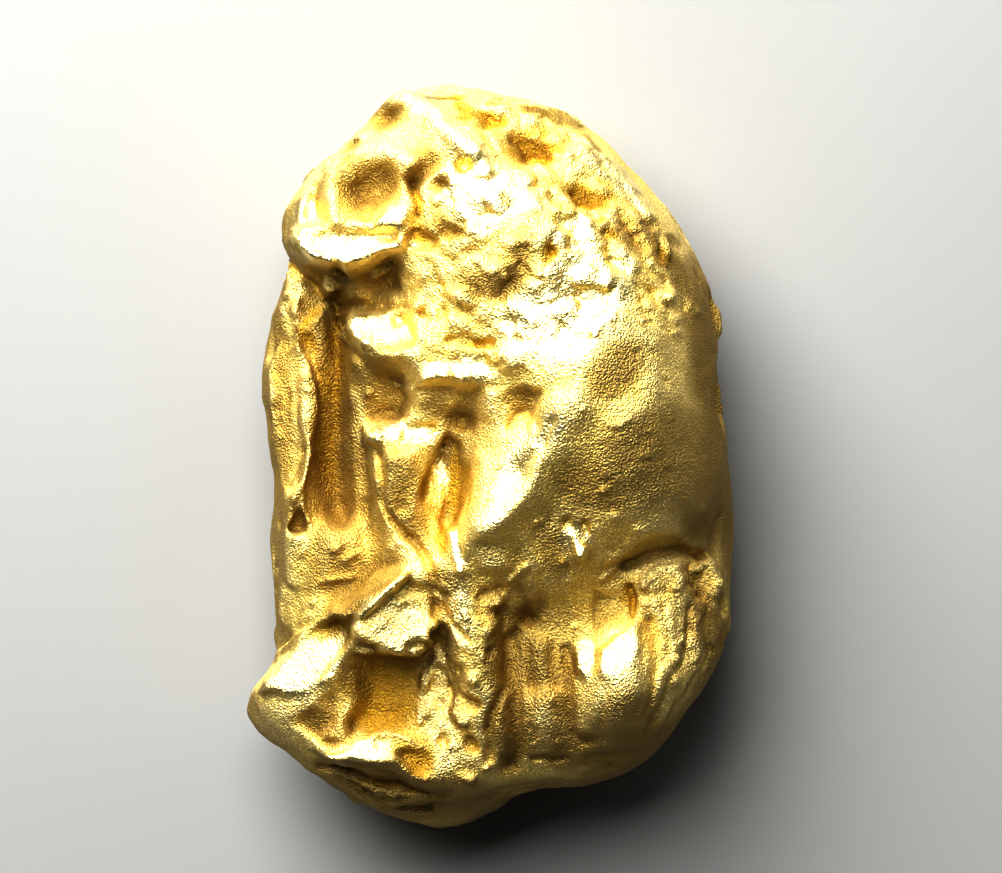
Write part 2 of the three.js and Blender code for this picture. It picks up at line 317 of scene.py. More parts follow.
def inside(points, outline):
    """Which points an outline goes round, by counting how often a line from each one crosses it."""
    within = np.zeros(len(points), bool)
    for a, b in zip(outline, np.roll(outline, -1, 0)):
        spans = (a[1] > points[:, 1]) != (b[1] > points[:, 1])
        crossing = a[0] + (points[:, 1] - a[1]) * (b[0] - a[0]) / np.where(a[1] == b[1], 1, b[1] - a[1])
        within ^= spans & (points[:, 0] < crossing)
    return within


WAVERS = [(0.8, 0.1), (0.28, 0.045)]  # the size and the height of the waves that make a stroke's edge uneven
WAVER_SEED = 1
noise.seed_set(WAVER_SEED)  # left alone, the noise starts from the clock and differs on every run


def wavering(place):
    """A small sideways shift for each point, so that no stroke has the clean edge of a drawn line."""
    shift = np.zeros((len(place), 3))
    for wave, height in WAVERS:
        shift += height * np.array([noise.noise_vector(Vector(p / wave)) for p in place])
    return shift


print("strokes waver by up to", sum(height for _, height in WAVERS), "mm")

# %% The five strokes
MOST_PRESSED = 0.15  # so that a face pressed near an edge doesn't drag it out


class Clay:
    """The surface seen along one axis: u and v are places across it, and up is towards the eye."""

    def __init__(self, piece, across=(0, 1), up=2, sign=1, slant=(0.0, 0.3)):
        self.mesh = piece.data
        self.place = read(self.mesh)
        self.across, self.up, self.sign = list(across), up, sign
        self.flat = (self.place + wavering(self.place))[:, self.across]
        self.facing = smooth_step(read(self.mesh, "normal")[:, up] * sign, *slant)

    def near(self, low, high):
        return np.flatnonzero(((self.flat > low) & (self.flat < high)).all(1) & (self.facing > 0))

    def lift(self, chosen, amount):
        self.place[chosen, self.up] += self.sign * amount * self.facing[chosen]

    def line(self, path, height, left, right, crisp=0.3):
        path = curve(path)
        margin = max(left, right)
        chosen = self.near(path.min(0) - margin, path.max(0) + margin)
        signed = reach_of(self.flat[chosen], path)
        share = bell(np.where(signed > 0, signed / left, -signed / right), crisp)
        self.lift(chosen, height * share)

    def oval(self, centre, radii, turn, square=2):
        """The points near an oval, and how far out each is: 0 in the middle, 1 on the edge."""
        reach = max(radii) * 1.5
        chosen = self.near(np.array(centre) - reach, np.array(centre) + reach)
        off = self.flat[chosen] - centre
        a = math.radians(turn)
        along = off @ (math.cos(a), math.sin(a)) / radii[0]
        beside = off @ (-math.sin(a), math.cos(a)) / radii[1]
        return chosen, (np.abs(along)**square + np.abs(beside)**square)**(1 / square), off

    def spot(self, centre, radii, height, turn=0, flat=0.0, crisp=0.0):
        chosen, out, _ = self.oval(centre, radii, turn)
        self.lift(chosen, height * bell((out - flat) / (1 - flat), crisp))

    def face(self, centre, radii, tilt, turn=0, raised=0.0, strength=1.0, edge=0.3):
        """Presses an area flat. tilt is how much the face climbs, in mm for each mm, along u and v."""
        chosen, out, off = self.oval(centre, radii, turn, square=3)
        if not (out < 0.4).any():
            return
        level = self.place[chosen[out < 0.4], self.up].mean() + self.sign * raised
        target = level + self.sign * (off @ tilt)
        share = strength * (1 - smooth_step(out, 1 - edge, 1.0)) * self.facing[chosen]
        self.place[chosen, self.up] += share * (target - self.place[chosen, self.up])

    def plate(self, outline, tilt=(0, 0), raised=0.0, wall=0.18, strength=1.0):
        """Presses the inside of an outline flat, above or below its mean level, with walls of a width."""
        outline = np.array(outline, float)
        chosen = self.near(outline.min(0), outline.max(0))
        chosen = chosen[inside(self.flat[chosen], outline)]
        depth = np.abs(reach_of(self.flat[chosen], np.vstack([outline, outline[:1]])))
        off = self.flat[chosen] - outline.mean(0)
        level = self.place[chosen, self.up].mean() + self.sign * raised
        target = level + self.sign * (off @ tilt)
        share = strength * smooth_step(depth, 0, wall) * self.facing[chosen]
        self.place[chosen, self.up] += share * (target - self.place[chosen, self.up])

    def press(self, centre, radii, turn=0, strength=0.8, edge=0.4):
        """Presses an area flat along the slope that it already has."""
        chosen, out, off = self.oval(centre, radii, turn, square=3)
        core = out < 1
        if core.sum() < 10:
            return
        plane = np.column_stack([off[core], np.ones(core.sum())])
        climb_u, climb_v, level = np.linalg.lstsq(plane, self.place[chosen[core], self.up], rcond=None)[0]
        share = strength * (1 - smooth_step(out, 1 - edge, 1.0)) * self.facing[chosen]
        change = off @ (climb_u, climb_v) + level - self.place[chosen, self.up]
        self.place[chosen, self.up] += share * np.clip(change, -MOST_PRESSED, MOST_PRESSED)

    def finish(self):
        write(self.mesh, "position", self.place)


top = Clay(nugget)
print("on the bench:", len(top.place), "points")

# %% [markdown]
# The head. It is a separate lump fused on at one end: a knob, a sharp crest running down from it, and a
# round crater whose far wall catches the light. Its lower edge hangs over the channel and leaves a dark
# crease.

# %% Carve the head
LIT = (0.0, -0.3)  # the tilt of a face that mirrors the light
top.line([(-2.45, 7.05), (-2.1, 7.3), (-1.7, 7.4), (-1.4, 7.3)], 0.15, 0.15, 0.2)
top.spot((-2.05, 6.75), (0.5, 0.36), -0.5, turn=20)
top.line([(-1.65, 7.3), (-1.2, 6.95), (-0.85, 6.5), (-0.35, 6.1)], 0.28, 0.4, 0.5, crisp=0.2)
top.spot((-2.75, 6.08), (0.3, 0.18), -0.22, turn=30)
top.plate([(-3.9, 5.2), (-3.3, 6.0), (-2.95, 5.85), (-3.25, 5.2), (-3.1, 4.5), (-3.9, 4.4)], (0.1, -0.25),
          0.05, 0.3)
top.plate([(-3.3, 5.2), (-3.0, 5.75), (-2.5, 6.0), (-1.85, 5.97), (-1.6, 5.45), (-1.7, 5.05), (-2.3, 4.4),
           (-3.0, 4.4), (-3.25, 4.8)], (0.1, 0.02), -0.06, 0.35)
top.line([(-3.3, 5.5), (-2.95, 5.85), (-2.5, 6.05), (-1.95, 6.0), (-1.6, 5.8)], 0.2, 0.3, 0.35)
top.spot((-2.45, 5.3), (0.85, 0.8), -0.48)
top.plate([(-1.55, 5.25), (-1.45, 4.95), (-1.7, 4.35), (-2.4, 4.25), (-2.3, 4.65), (-2.0, 4.9)],
          (0.15, -0.3), 0.12, 0.15)
top.plate([(-4.1, 4.3), (-3.7, 4.7), (-3.0, 4.6), (-2.3, 4.55), (-1.7, 4.6), (-1.72, 4.15), (-2.4, 3.9),
           (-3.0, 3.6), (-3.6, 3.85)], LIT, 0.68, 0.22)
top.line([(-4.05, 4.05), (-3.55, 3.8), (-3.05, 3.55), (-2.6, 3.8), (-2.15, 4.05), (-1.7, 4.1)], 0.25, 0.4,
         0.1, crisp=0.4)
top.plate([(-1.8, 5.5), (-1.45, 5.15), (-1.1, 5.6), (-0.95, 6.15), (-1.35, 6.15), (-1.55, 5.75)],
          (0.3, 0.4), -0.2)
top.line([(-4.3, 3.98), (-3.9, 3.68), (-3.5, 3.42), (-3.25, 3.2)], -0.45, 0.09, 0.13, crisp=1)
top.plate([(-1.7, 4.1), (-1.3, 4.08), (-1.33, 4.5), (-1.55, 4.55)], (0.2, 0.3), -0.35, 0.08)
top.line([(-1.55, 5.4), (-1.35, 4.95), (-1.45, 4.6)], -0.28, 0.14, 0.12)
top.plate([(-1.25, 4.58), (-0.9, 4.65), (-0.48, 4.55), (-0.55, 4.28), (-0.9, 4.18), (-1.15, 4.32)],
          (0, 0.5), -0.15)
top.plate([(-0.8, 5.78), (-0.38, 5.9), (-0.38, 5.62), (-0.55, 5.5)], (0.1, 0.3), -0.25, 0.08)
top.spot((-0.85, 5.3), (0.22, 0.2), -0.18)
top.spot((-0.72, 5.0), (0.12, 0.12), -0.18)
top.line([(-0.42, 4.72), (0.0, 4.78)], -0.16, 0.09, 0.09)
for place, radius in [((-1.05, 5.55), 0.2), ((-0.6, 5.4), 0.15), ((-0.2, 5.1), 0.25), ((-0.35, 6.5), 0.2),
                      ((-1.75, 4.3), 0.12), ((-0.15, 5.6), 0.25), ((-1.0, 4.95), 0.2), ((-0.2, 4.35), 0.2)]:
    top.spot(place, (radius, radius), 0.12)
print("head carved, up to", top.place[:, 2].max().round(2), "mm")

# %% [markdown]
# The far end. Growth stopped here in open cups with flat floors, between faces that the stream never
# reached. The cups look ochre because the light that leaves them has bounced from gold to gold several
# times, and that ochre is painted into their colour later as painted light.

# %% Carve the far end
top.plate([(-0.5, 6.95), (0.0, 7.0), (0.4, 6.85), (0.5, 6.6), (0.3, 6.42), (-0.15, 6.38), (-0.3, 6.65)],
          (0.25, 0.2), -0.2, 0.2)
top.plate([(0.35, 6.98), (0.6, 7.08), (1.0, 7.0), (1.0, 6.84), (0.6, 6.88)], (0, 0.4), -0.12, 0.06)
top.spot((-0.1, 7.05), (0.12, 0.2), 0.14)
top.spot((0.8, 6.65), (0.26, 0.2), 0.18)
top.plate([(0.3, 6.52), (0.62, 6.5), (1.0, 6.38), (1.42, 6.32), (1.48, 6.1), (1.2, 5.95), (1.15, 5.68),
           (0.9, 5.6), (0.52, 5.68), (0.5, 6.0), (0.3, 6.2)], (0.1, 0.25), -0.26, 0.15)
top.line([(0.5, 5.62), (1.0, 5.5), (1.15, 5.6)], 0.08, 0.07, 0.07)
top.line([(1.4, 6.4), (1.7, 6.3), (2.0, 6.15)], 0.12, 0.12, 0.12)
top.plate([(1.2, 6.0), (1.62, 6.0), (1.72, 5.58), (1.3, 5.46), (1.1, 5.62)], (0.15, -0.4), 0.06, 0.1)
top.spot((1.78, 5.7), (0.14, 0.14), 0.1)
top.plate([(1.3, 5.12), (1.5, 5.3), (1.8, 5.5), (2.22, 5.46), (2.4, 5.3), (2.32, 5.0), (2.1, 4.9),
           (2.02, 4.68), (1.5, 4.7), (1.45, 4.95)], (0.1, 0.05), -0.19, 0.15)
top.spot((1.62, 5.12), (0.15, 0.1), -0.06)
top.plate([(0.65, 5.28), (0.85, 5.46), (1.3, 5.46), (1.42, 5.22), (1.1, 5.2)], (0.1, 0.1), -0.2, 0.08)
top.line([(1.85, 6.0), (2.35, 5.6), (2.8, 5.15), (3.2, 4.8), (3.5, 4.4)], 0.2, 0.35, 0.2, crisp=0.4)
top.plate([(1.9, 6.25), (2.25, 6.05), (2.9, 5.35), (3.3, 4.75), (3.15, 4.5), (2.7, 5.0), (2.2, 5.6),
           (1.8, 5.95)], (-0.1, -0.3), 0.08, 0.15)
top.plate([(1.4, 4.82), (2.05, 4.72), (2.05, 4.3), (2.35, 4.1), (1.9, 3.9), (1.5, 3.95), (1.25, 4.5)],
          (0.05, -0.32), 0.06, 0.12)
top.line([(2.15, 4.55), (2.4, 4.95)], 0.15, 0.08, 0.08)
top.plate([(2.4, 4.95), (2.75, 4.92), (3.05, 4.65), (3.1, 4.2), (3.0, 3.95), (2.7, 4.05), (2.4, 4.5)],
          (0.1, 0.05), -0.16, 0.15)
for x, y in [(2.6, 4.7), (2.6, 4.48), (2.85, 4.3), (2.92, 4.15), (3.2, 4.4), (2.75, 4.55)]:
    top.spot((x, y), (0.1, 0.1), 0.12, crisp=0.3)
top.plate([(0.45, 4.5), (1.0, 4.45), (0.95, 3.9), (0.75, 3.4), (0.4, 2.85), (-0.15, 3.0), (0.0, 3.7)],
          (0.05, 0.3), -0.08, 0.4)
top.plate([(1.05, 4.2), (1.35, 4.1), (1.35, 3.85), (1.1, 3.9)], (0, 0.3), -0.2, 0.08)
top.plate([(2.1, 4.5), (2.4, 4.5), (2.4, 4.3), (2.15, 4.25)], (0, 0.3), -0.2, 0.08)
top.line([(-1.1, 7.25), (-0.7, 7.05), (-0.3, 7.15)], 0.12, 0.12, 0.12)
top.line([(-1.1, 3.78), (-0.7, 3.88), (-0.3, 3.8)], -0.12, 0.1, 0.1)
top.plate([(2.9, 3.35), (3.3, 3.35), (3.7, 3.25), (3.7, 3.05), (3.2, 3.05)], (0, -0.45), 0.1, 0.08)
for place, radii in [((3.7, 2.75), (0.16, 0.14)), ((3.65, 2.48), (0.2, 0.1)), ((4.0, 2.9), (0.12, 0.14)),
                     ((3.9, 3.05), (0.1, 0.07)), ((3.35, 2.9), (0.14, 0.08)), ((3.3, 3.2), (0.12, 0.1))]:
    top.spot(place, radii, 0.14, crisp=0.2)
top.line([(2.85, 3.25), (2.9, 2.9), (3.1, 2.6)], -0.16, 0.12, 0.08)
top.line([(3.05, 3.7), (3.4, 3.43)], -0.18, 0.07, 0.07)
top.plate([(0.35, 2.42), (0.65, 2.45), (0.65, 2.15), (0.4, 2.15)], (0.1, 0.3), -0.22, 0.08)
top.line([(1.5, 3.2), (1.8, 3.12), (2.25, 2.85)], -0.2, 0.12, 0.1)
top.plate([(0.5, 3.05), (1.1, 3.65), (1.6, 3.9), (2.9, 3.4), (2.6, 2.8), (2.2, 2.4), (1.8, 1.9), (1.1, 1.75),
           (0.5, 1.5), (-0.2, 1.3), (-0.2, 2.1), (0.3, 2.6)], (0.0, -0.24), 0.05, 0.5, 0.7)
print("far end carved")

# %% [markdown]
# The brow and the channel. A ledge crosses under the head, bright on its upper side and undercut below.
# Down the left side runs a channel, perhaps the cast of a quartz crystal, behind a thin upright flange.

# %% Carve the brow and the channel
top.plate([(-3.2, 3.5), (-2.3, 3.95), (-1.7, 4.0), (-1.6, 3.3), (-2.2, 3.0), (-3.0, 2.9)], (0.1, 0.5),
          -0.12, 0.35)
top.spot((-2.95, 3.72), (0.24, 0.22), 0.3)
top.line([(-3.0, 2.98), (-2.6, 3.02), (-2.0, 3.0), (-1.5, 2.86), (-1.15, 2.75)], -0.25, 0.16, 0.1)
top.plate([(-2.95, 2.5), (-2.75, 2.95), (-2.2, 2.98), (-1.6, 2.85), (-1.4, 2.4), (-1.5, 2.1), (-2.1, 1.95),
           (-2.6, 2.15)], (0.05, -0.42), 0.2, 0.16)
top.plate([(-2.0, 2.95), (-1.68, 2.9), (-1.7, 2.5), (-1.95, 2.5)], (0.1, 0.2), -0.14, 0.1)
top.line([(-2.9, 2.32), (-2.5, 2.12), (-2.2, 1.95), (-1.7, 1.98), (-1.5, 1.75)], 0.2, 0.35, 0.1, crisp=0.5)
top.plate([(-1.55, 1.4), (-1.5, 1.98), (-0.9, 2.05), (-0.3, 1.95), (0.4, 2.0), (0.35, 1.5), (-0.2, 1.32),
           (-0.9, 1.38)], (0.0, -0.3), 0.15, 0.26, 0.85)
for x, y, radius in [(-1.35, 1.6, 0.17), (-0.98, 1.64, 0.22), (-0.55, 1.6, 0.2), (-0.15, 1.64, 0.22),
                     (0.2, 1.75, 0.18)]:
    top.spot((x, y), (1.2 * radius, radius), 0.12, crisp=0.2)
top.plate([(-0.8, 2.5), (-0.35, 2.5), (-0.3, 2.15), (-0.7, 2.1)], (0.1, 0.25), -0.15, 0.14)
top.plate([(-0.35, 2.3), (0.15, 2.3), (0.1, 2.08), (-0.35, 2.08)], (0.0, 0.2), -0.22, 0.08)
top.plate([(-2.95, 2.15), (-2.3, 1.92), (-1.6, 1.8), (-1.55, 1.2), (-1.7, 0.6), (-2.6, 0.5), (-2.9, 1.2)],
          (0.15, 0.5), -0.08, 0.3)
top.plate([(-1.75, 1.5), (-0.2, 1.5), (-0.1, 0.9), (-0.4, 0.4), (-0.9, 0.45), (-1.6, 0.7)], (0.0, 0.35),
          -0.12, 0.4)
top.spot((-0.6, 0.8), (0.5, 0.4), -0.25)
top.spot((-2.4, 1.25), (0.12, 0.12), 0.16)
top.line([(-1.9, 1.45), (-1.7, 1.35), (-1.5, 1.4)], 0.12, 0.1, 0.05)
top.plate([(-2.6, 0.25), (-2.5, 0.6), (-1.7, 0.68), (-1.2, 0.75), (-0.98, 0.9), (-1.1, 0.5), (-1.5, 0.2),
           (-2.1, 0.2)], (0.0, -0.42), 0.15, 0.12)
for place, radius in [((-2.45, 0.42), 0.12), ((-2.2, 0.4), 0.1), ((-1.82, 0.42), 0.2), ((-1.35, 0.48), 0.15)]:
    top.spot(place, (radius, radius), 0.08)
top.plate([(-2.25, 0.22), (-1.4, 0.22), (-1.35, -0.5), (-1.5, -1.1), (-1.9, -1.35), (-2.15, -0.8)],
          (0.0, 0.5), 0.0, 0.3, 0.8)
top.plate([(-1.2, 0.35), (-0.85, 0.62), (-0.55, 0.35), (-0.45, -0.2), (-0.5, -1.0), (-0.7, -1.5),
           (-1.0, -1.6), (-1.25, -1.0), (-1.3, -0.3)], (0.35, 0.05), -0.3, 0.2, 0.9)
top.plate([(-1.15, 0.05), (-0.9, 0.0), (-0.85, -0.9), (-1.0, -1.25), (-1.3, -0.9)], (-0.2, -0.35), 0.08, 0.12)
top.line([(-1.0, 0.28), (-1.13, 0.0), (-1.28, -0.4), (-1.36, -0.8)], -0.4, 0.07, 0.08, crisp=1)
top.line([(-2.2, 0.1), (-2.15, -0.4), (-2.1, -0.9), (-1.8, -1.4), (-1.45, -1.85), (-1.2, -2.1)],
         -0.34, 0.09, 0.11, crisp=0.8)
top.plate([(-3.8, 2.9), (-3.3, 3.2), (-3.05, 2.4), (-2.95, 1.2), (-2.9, 0.0), (-2.8, -1.5), (-3.3, -1.6),
           (-3.65, -0.4), (-3.65, 1.6)], (-0.4, 0.05), -0.08, 0.3)
top.plate([(-3.05, 2.3), (-2.5, 1.5), (-2.3, 0.2), (-2.2, -0.8), (-2.3, -1.8), (-2.9, -1.8), (-3.0, 0.0)],
          (0.15, 0.12), 0.0, 0.3, 0.8)
top.line([(-3.85, 3.3), (-3.92, 2.5), (-3.7, 1.9), (-3.62, 1.0), (-3.6, 0.2), (-3.75, -0.5), (-3.95, -0.9)],
         0.16, 0.1, 0.12, crisp=0.5)
top.plate([(-4.45, 3.3), (-3.88, 3.3), (-3.92, 2.5), (-3.72, 1.9), (-3.65, 1.0), (-3.64, 0.2),
           (-3.78, -0.5), (-4.0, -0.9), (-4.4, -0.8), (-4.5, 1.5)], (0.8, 0.0), 0.0, 0.2, 0.9)
top.line([(-4.02, 3.4), (-4.06, 2.5), (-4.04, 1.5), (-4.0, 0.8)], -0.12, 0.06, 0.07)
top.line([(-3.45, 2.9), (-3.56, 2.4), (-3.46, 1.8)], 0.06, 0.06, 0.06)
top.plate([(-3.85, 2.5), (-3.75, 2.75), (-3.5, 2.85), (-3.55, 2.4)], (0.15, -0.35), 0.05, 0.08)
top.line([(-3.4, 3.38), (-3.2, 3.1), (-3.06, 2.75), (-3.0, 2.48)], -0.6, 0.08, 0.08, crisp=1)
top.plate([(-4.15, -1.35), (-3.9, -0.95), (-3.68, -1.15), (-3.75, -1.55), (-4.1, -1.55)], (0.1, 0.5), -0.3,
          0.1)
top.line([(-3.72, -0.5), (-3.72, -1.1), (-3.62, -1.6), (-3.8, -1.98)], 0.12, 0.08, 0.08)
for place, radius in [((-3.85, -1.65), 0.13), ((-4.02, -1.6), 0.08), ((-4.05, -0.45), 0.09),
                      ((-4.17, -0.62), 0.08), ((-4.42, 1.55), 0.1), ((-4.22, 0.8), 0.1), ((-4.25, 0.4),
                                                                                          0.12),
                      ((-3.7, 1.65), 0.07), ((-3.7, 1.35), 0.07), ((-4.15, 3.3), 0.12)]:
    top.spot(place, (radius, 1.3 * radius), 0.1, crisp=0.5)
top.plate([(-3.7, -1.0), (-2.4, -0.9), (-1.6, -2.1), (-2.3, -2.8), (-3.2, -3.15), (-3.95, -3.3),
           (-4.0, -2.2)], (0.05, 0.2), 0.0, 0.8, 0.9)
SLIVERS = [[(-2.88, -2.02), (-2.65, -1.9)], [(-2.05, -1.8), (-1.83, -1.7)], [(-3.4, -2.52), (-3.0, -2.45),
                                                                             (-2.7, -2.35)], [(-2.75, -2.9),
                                                                                              (-2.5, -2.7)],
           [(-3.82, -2.97), (-3.55, -2.8)], [(-3.97, -3.32), (-3.75, -3.2)], [(-3.12, -1.86), (-3.0, -1.8)],
           [(-2.42, -1.3), (-2.3, -1.22)], [(-2.5, -0.75), (-2.38, -0.72)], ]
for path in SLIVERS:
    top.line(path, 0.12, 0.14, 0.04, crisp=0.5)
print("brow and channel carved, with", len(SLIVERS), "slivers")

# %% [markdown]
# The fold. The gold was bent over here like a lip, and its crest is the most polished place on the piece.
# Right of it the flank is worn smooth. Left of it a deep almond-shaped pocket drops between two lobes.

# %% Carve the fold
top.line([(1.42, 0.95), (1.2, 0.4), (0.85, -0.3), (0.4, -0.95), (-0.15, -1.35)], 0.3, 0.75, 0.55, crisp=0.35)
top.plate([(1.5, 0.95), (1.15, 0.85), (0.8, 0.2), (0.1, 0.1), (-0.4, 0.35), (-0.45, -0.6), (-0.5, -1.3),
           (0.0, -1.45), (0.4, -1.15), (0.85, -0.45), (1.2, 0.2)], (0.14, -0.3), 0.0, 0.45, 0.8)
top.plate([(-0.2, 1.45), (1.1, 1.4), (1.0, 0.9), (0.7, 0.45), (0.1, 0.5), (-0.2, 0.8)], (0.05, 0.3), -0.12,
          0.25)
top.plate([(1.5, 1.2), (2.1, 2.0), (2.8, 2.95), (3.6, 2.4), (3.3, 1.0), (2.2, 0.6)], (-0.4, 0.05), 0.05,
          0.6, 0.7)
top.spot((0.6, 0.7), (0.18, 0.16), 0.16)
top.line([(0.35, 0.55), (0.45, 0.88), (0.75, 0.88), (0.88, 0.55)], -0.14, 0.08, 0.08)
top.face((0.0, -1.9), (0.45, 0.4), (0.05, 0.05), raised=0.05, strength=0.8, edge=0.6)
top.line([(0.6, -1.5), (0.8, -2.0), (0.85, -2.7)], 0.1, 0.25, 0.25, crisp=0)
top.plate([(1.3, -1.25), (1.6, -1.1), (1.7, -1.4), (1.75, -1.6), (2.0, -1.8), (1.8, -2.15), (1.6, -2.0),
           (1.6, -1.65), (1.4, -1.5)], (0.0, -0.35), 0.14, 0.08)
for place, radii in [((1.4, -2.02), (0.1, 0.08)), ((2.35, -1.15), (0.18, 0.12)), ((2.15, -0.65),
                                                                                  (0.09, 0.08)),
                     ((0.92, -1.25), (0.14, 0.07))]:
    top.spot(place, radii, 0.15, crisp=0.4)
top.plate([(1.7, -1.15), (1.9, -1.15), (1.95, -1.5), (1.8, -1.6)], (0.2, 0.1), -0.18, 0.07)
top.line([(0.35, -2.38), (0.65, -2.1)], 0.18, 0.12, 0.08)
SPECKS = [(2.3, 1.25), (3.0, 0.05), (3.05, 0.56), (3.56, 0.76), (3.12, 2.1), (3.4, 1.62), (3.65, 1.82),
          (2.82, 2.1), (3.4, -0.2), (3.7, 1.2), (4.55, 1.1), (2.2, -0.4), (4.4, 2.2), (1.8, 0.95),
          (3.68, -0.7), (4.6, 0.2)]
for x, y in SPECKS:
    top.spot((x, y - 0.09), (0.11, 0.08), -0.08)
    top.spot((x, y), (0.09, 0.06), 0.07, crisp=0.5)
top.plate([(2.15, 0.62), (2.3, 0.75), (2.8, 0.82), (2.8, 0.74), (2.5, 0.58)], (0.0, -0.6), 0.06, 0.05)
print("fold carved, with", len(SPECKS), "specks")

# %% [markdown]
# The boot. At the near end the gold narrows to a toe. One broad face on it mirrors the light, behind that
# is a three-cornered hollow with an ochre floor, and a seam of small grains runs up its other side.

# %% Carve the boot
top.line([(-1.7, -2.35), (-2.2, -2.85), (-2.7, -3.35)], 0.1, 0.12, 0.14)
top.plate([(-2.45, -3.1), (-2.6, -3.6), (-3.0, -4.15), (-3.6, -4.65), (-4.1, -4.85), (-4.75, -4.8),
           (-4.65, -4.4), (-4.05, -3.8), (-3.75, -3.4), (-3.1, -2.95)], (0.34, -0.26), 0.12, 0.2)
top.line([(-3.1, -3.05), (-2.85, -3.15), (-2.65, -3.4)], 0.35, 0.2, 0.25, crisp=0)
top.plate([(-3.6, -4.9), (-2.95, -4.35), (-2.65, -4.1), (-2.55, -4.6), (-3.0, -5.3), (-3.4, -5.75),
           (-4.2, -5.3)], (0.2, 0.3), -0.08, 0.25)
top.spot((-2.72, -4.15), (0.08, 0.08), 0.12)
top.spot((-3.3, -4.4), (0.3, 0.1), 0.08, turn=15)
top.spot((-3.35, -4.95), (0.12, 0.09), 0.1)
top.line([(-1.65, -2.4), (-1.4, -2.8), (-1.25, -3.3), (-1.15, -4.0), (-1.35, -4.6), (-1.4, -5.2)], 0.16,
         0.14, 0.12)
top.plate([(-2.4, -4.0), (-1.95, -3.85), (-1.5, -4.8), (-1.45, -5.5), (-2.2, -5.55), (-3.0, -5.7),
           (-3.0, -5.2), (-2.65, -4.7)], (0.25, 0.15), -0.25, 0.4)
top.plate([(-1.7, -2.2), (-2.75, -3.25), (-2.5, -3.95), (-1.9, -4.05), (-1.3, -4.1), (-1.1, -3.1)],
          (0.05, -0.05), 0.6, 0.3)
top.plate([(-1.6, -2.2), (-2.78, -3.35), (-2.55, -3.75), (-1.7, -3.6), (-1.1, -3.5), (-1.1, -2.7)],
          (-0.05, -0.1), 0.08, 0.15)
CHIPS, CHIP_SEED = 26, 7  # small faces on the three-cornered top
dice = np.random.default_rng(CHIP_SEED)
for _ in range(CHIPS):
    x, y = dice.uniform(-2.5, -1.25), dice.uniform(-3.95, -2.65)
    if abs(x + 1.75) < 0.15 - 0.5 * (y + 2.5):
        top.face((x, y), dice.uniform((0.12, 0.08), (0.3, 0.18)), (dice.uniform(-0.2, 0.3), -0.3),
                 turn=dice.uniform(-20, 50), raised=0.03, edge=0.4)
top.line([(-1.7, -2.25), (-2.2, -2.8), (-2.7, -3.25)], 0.14, 0.12, 0.16, crisp=0.5)
top.line([(-3.45, -5.9), (-2.8, -5.98), (-2.0, -6.05)], 0.2, 0.3, 0.12)
top.plate([(-3.4, -5.98), (-3.3, -5.8), (-2.9, -5.82), (-2.75, -5.62), (-2.3, -5.5), (-2.2, -5.75),
           (-1.85, -5.95), (-2.0, -6.05), (-2.8, -6.02)], (0.0, -0.4), 0.12, 0.08)
top.line([(-2.3, -5.5), (-1.95, -5.52), (-1.6, -5.6)], 0.13, 0.08, 0.06)
top.plate([(-1.9, -5.75), (-1.3, -5.65), (-1.15, -6.0), (-1.1, -6.4), (-1.6, -6.3), (-1.95, -6.0)],
          (0.25, 0.2), -0.18, 0.2)
top.line([(-1.95, -6.1), (-1.7, -6.25), (-1.5, -6.42)], 0.1, 0.08, 0.06)
top.spot((-1.32, -6.4), (0.14, 0.1), 0.14)
top.spot((-3.2, -5.62), (0.25, 0.12), -0.2)
top.line([(-3.4, -6.15), (-2.6, -6.45), (-1.8, -6.6), (-0.9, -6.75)], -0.3, 0.14, 0.12)
top.line([(-2.8, -6.62), (-2.0, -6.95), (-1.2, -7.12)], -0.25, 0.12, 0.12)
print("boot carved, with", CHIPS, "chips")

# %% [markdown]
# The seam. Two sheets of the gold met here and small grains grew along the join. Its larger grains are
# pressed as faces that lean to the light, and the small ones come later with the rough patches.

# %% Carve the seam
top.plate([(-0.9, -1.42), (-0.62, -1.38), (-0.58, -1.8), (-0.5, -2.25), (-0.78, -2.3), (-0.82, -1.9)],
          (-0.1, -0.3), 0.14, 0.06)
top.line([(-1.2, -2.2), (-1.05, -2.7), (-0.8, -3.2), (-0.5, -3.6)], -0.2, 0.1, 0.1)
top.spot((-1.08, -3.15), (0.2, 0.55), 0.35)
top.line([(0.15, -2.5), (0.2, -3.3), (0.3, -4.2), (0.05, -5.0), (-0.05, -6.0)], -0.2, 0.15, 0.15)
for place, radii in [((-0.75, -4.7), (0.1, 0.3)), ((-0.4, -5.7), (0.16, 0.26)), ((0.0, -3.75), (0.14, 0.1)),
                     ((-0.65, -4.15), (0.1, 0.14)), ((-1.0, -5.6), (0.08, 0.2))]:
    top.spot(place, radii, -0.24, turn=15, flat=0.3)
for place, radii in [((-0.5, -5.0), (0.24, 0.34)), ((-0.55, -6.38), (0.26, 0.14)), ((-1.02, -4.0),
                                                                                    (0.18, 0.17)),
                     ((-1.25, -4.9), (0.22, 0.24)), ((-0.9, -5.25), (0.24, 0.2)), ((0.0, -2.75),
                                                                                   (0.3, 0.25)),
                     ((-0.1, -3.3), (0.26, 0.22)), ((-0.1, -6.2), (0.12, 0.14)), ((-0.7, -5.65),
                                                                                  (0.15, 0.2)),
                     ((-1.3, -4.4), (0.16, 0.2)), ((-0.35, -4.3), (0.14, 0.2)), ((-1.0, -2.75),
                                                                                 (0.14, 0.12))]:
    top.face(place, radii, (0.1, -0.35), turn=-20, raised=0.08)
print("seam carved")

# %% [markdown]
# The foot. Soft folds run down a panel between the seam and a knuckle, whose top is another mirror face.
# Above it a lip curls over a dark groove, with a small square block at its end.

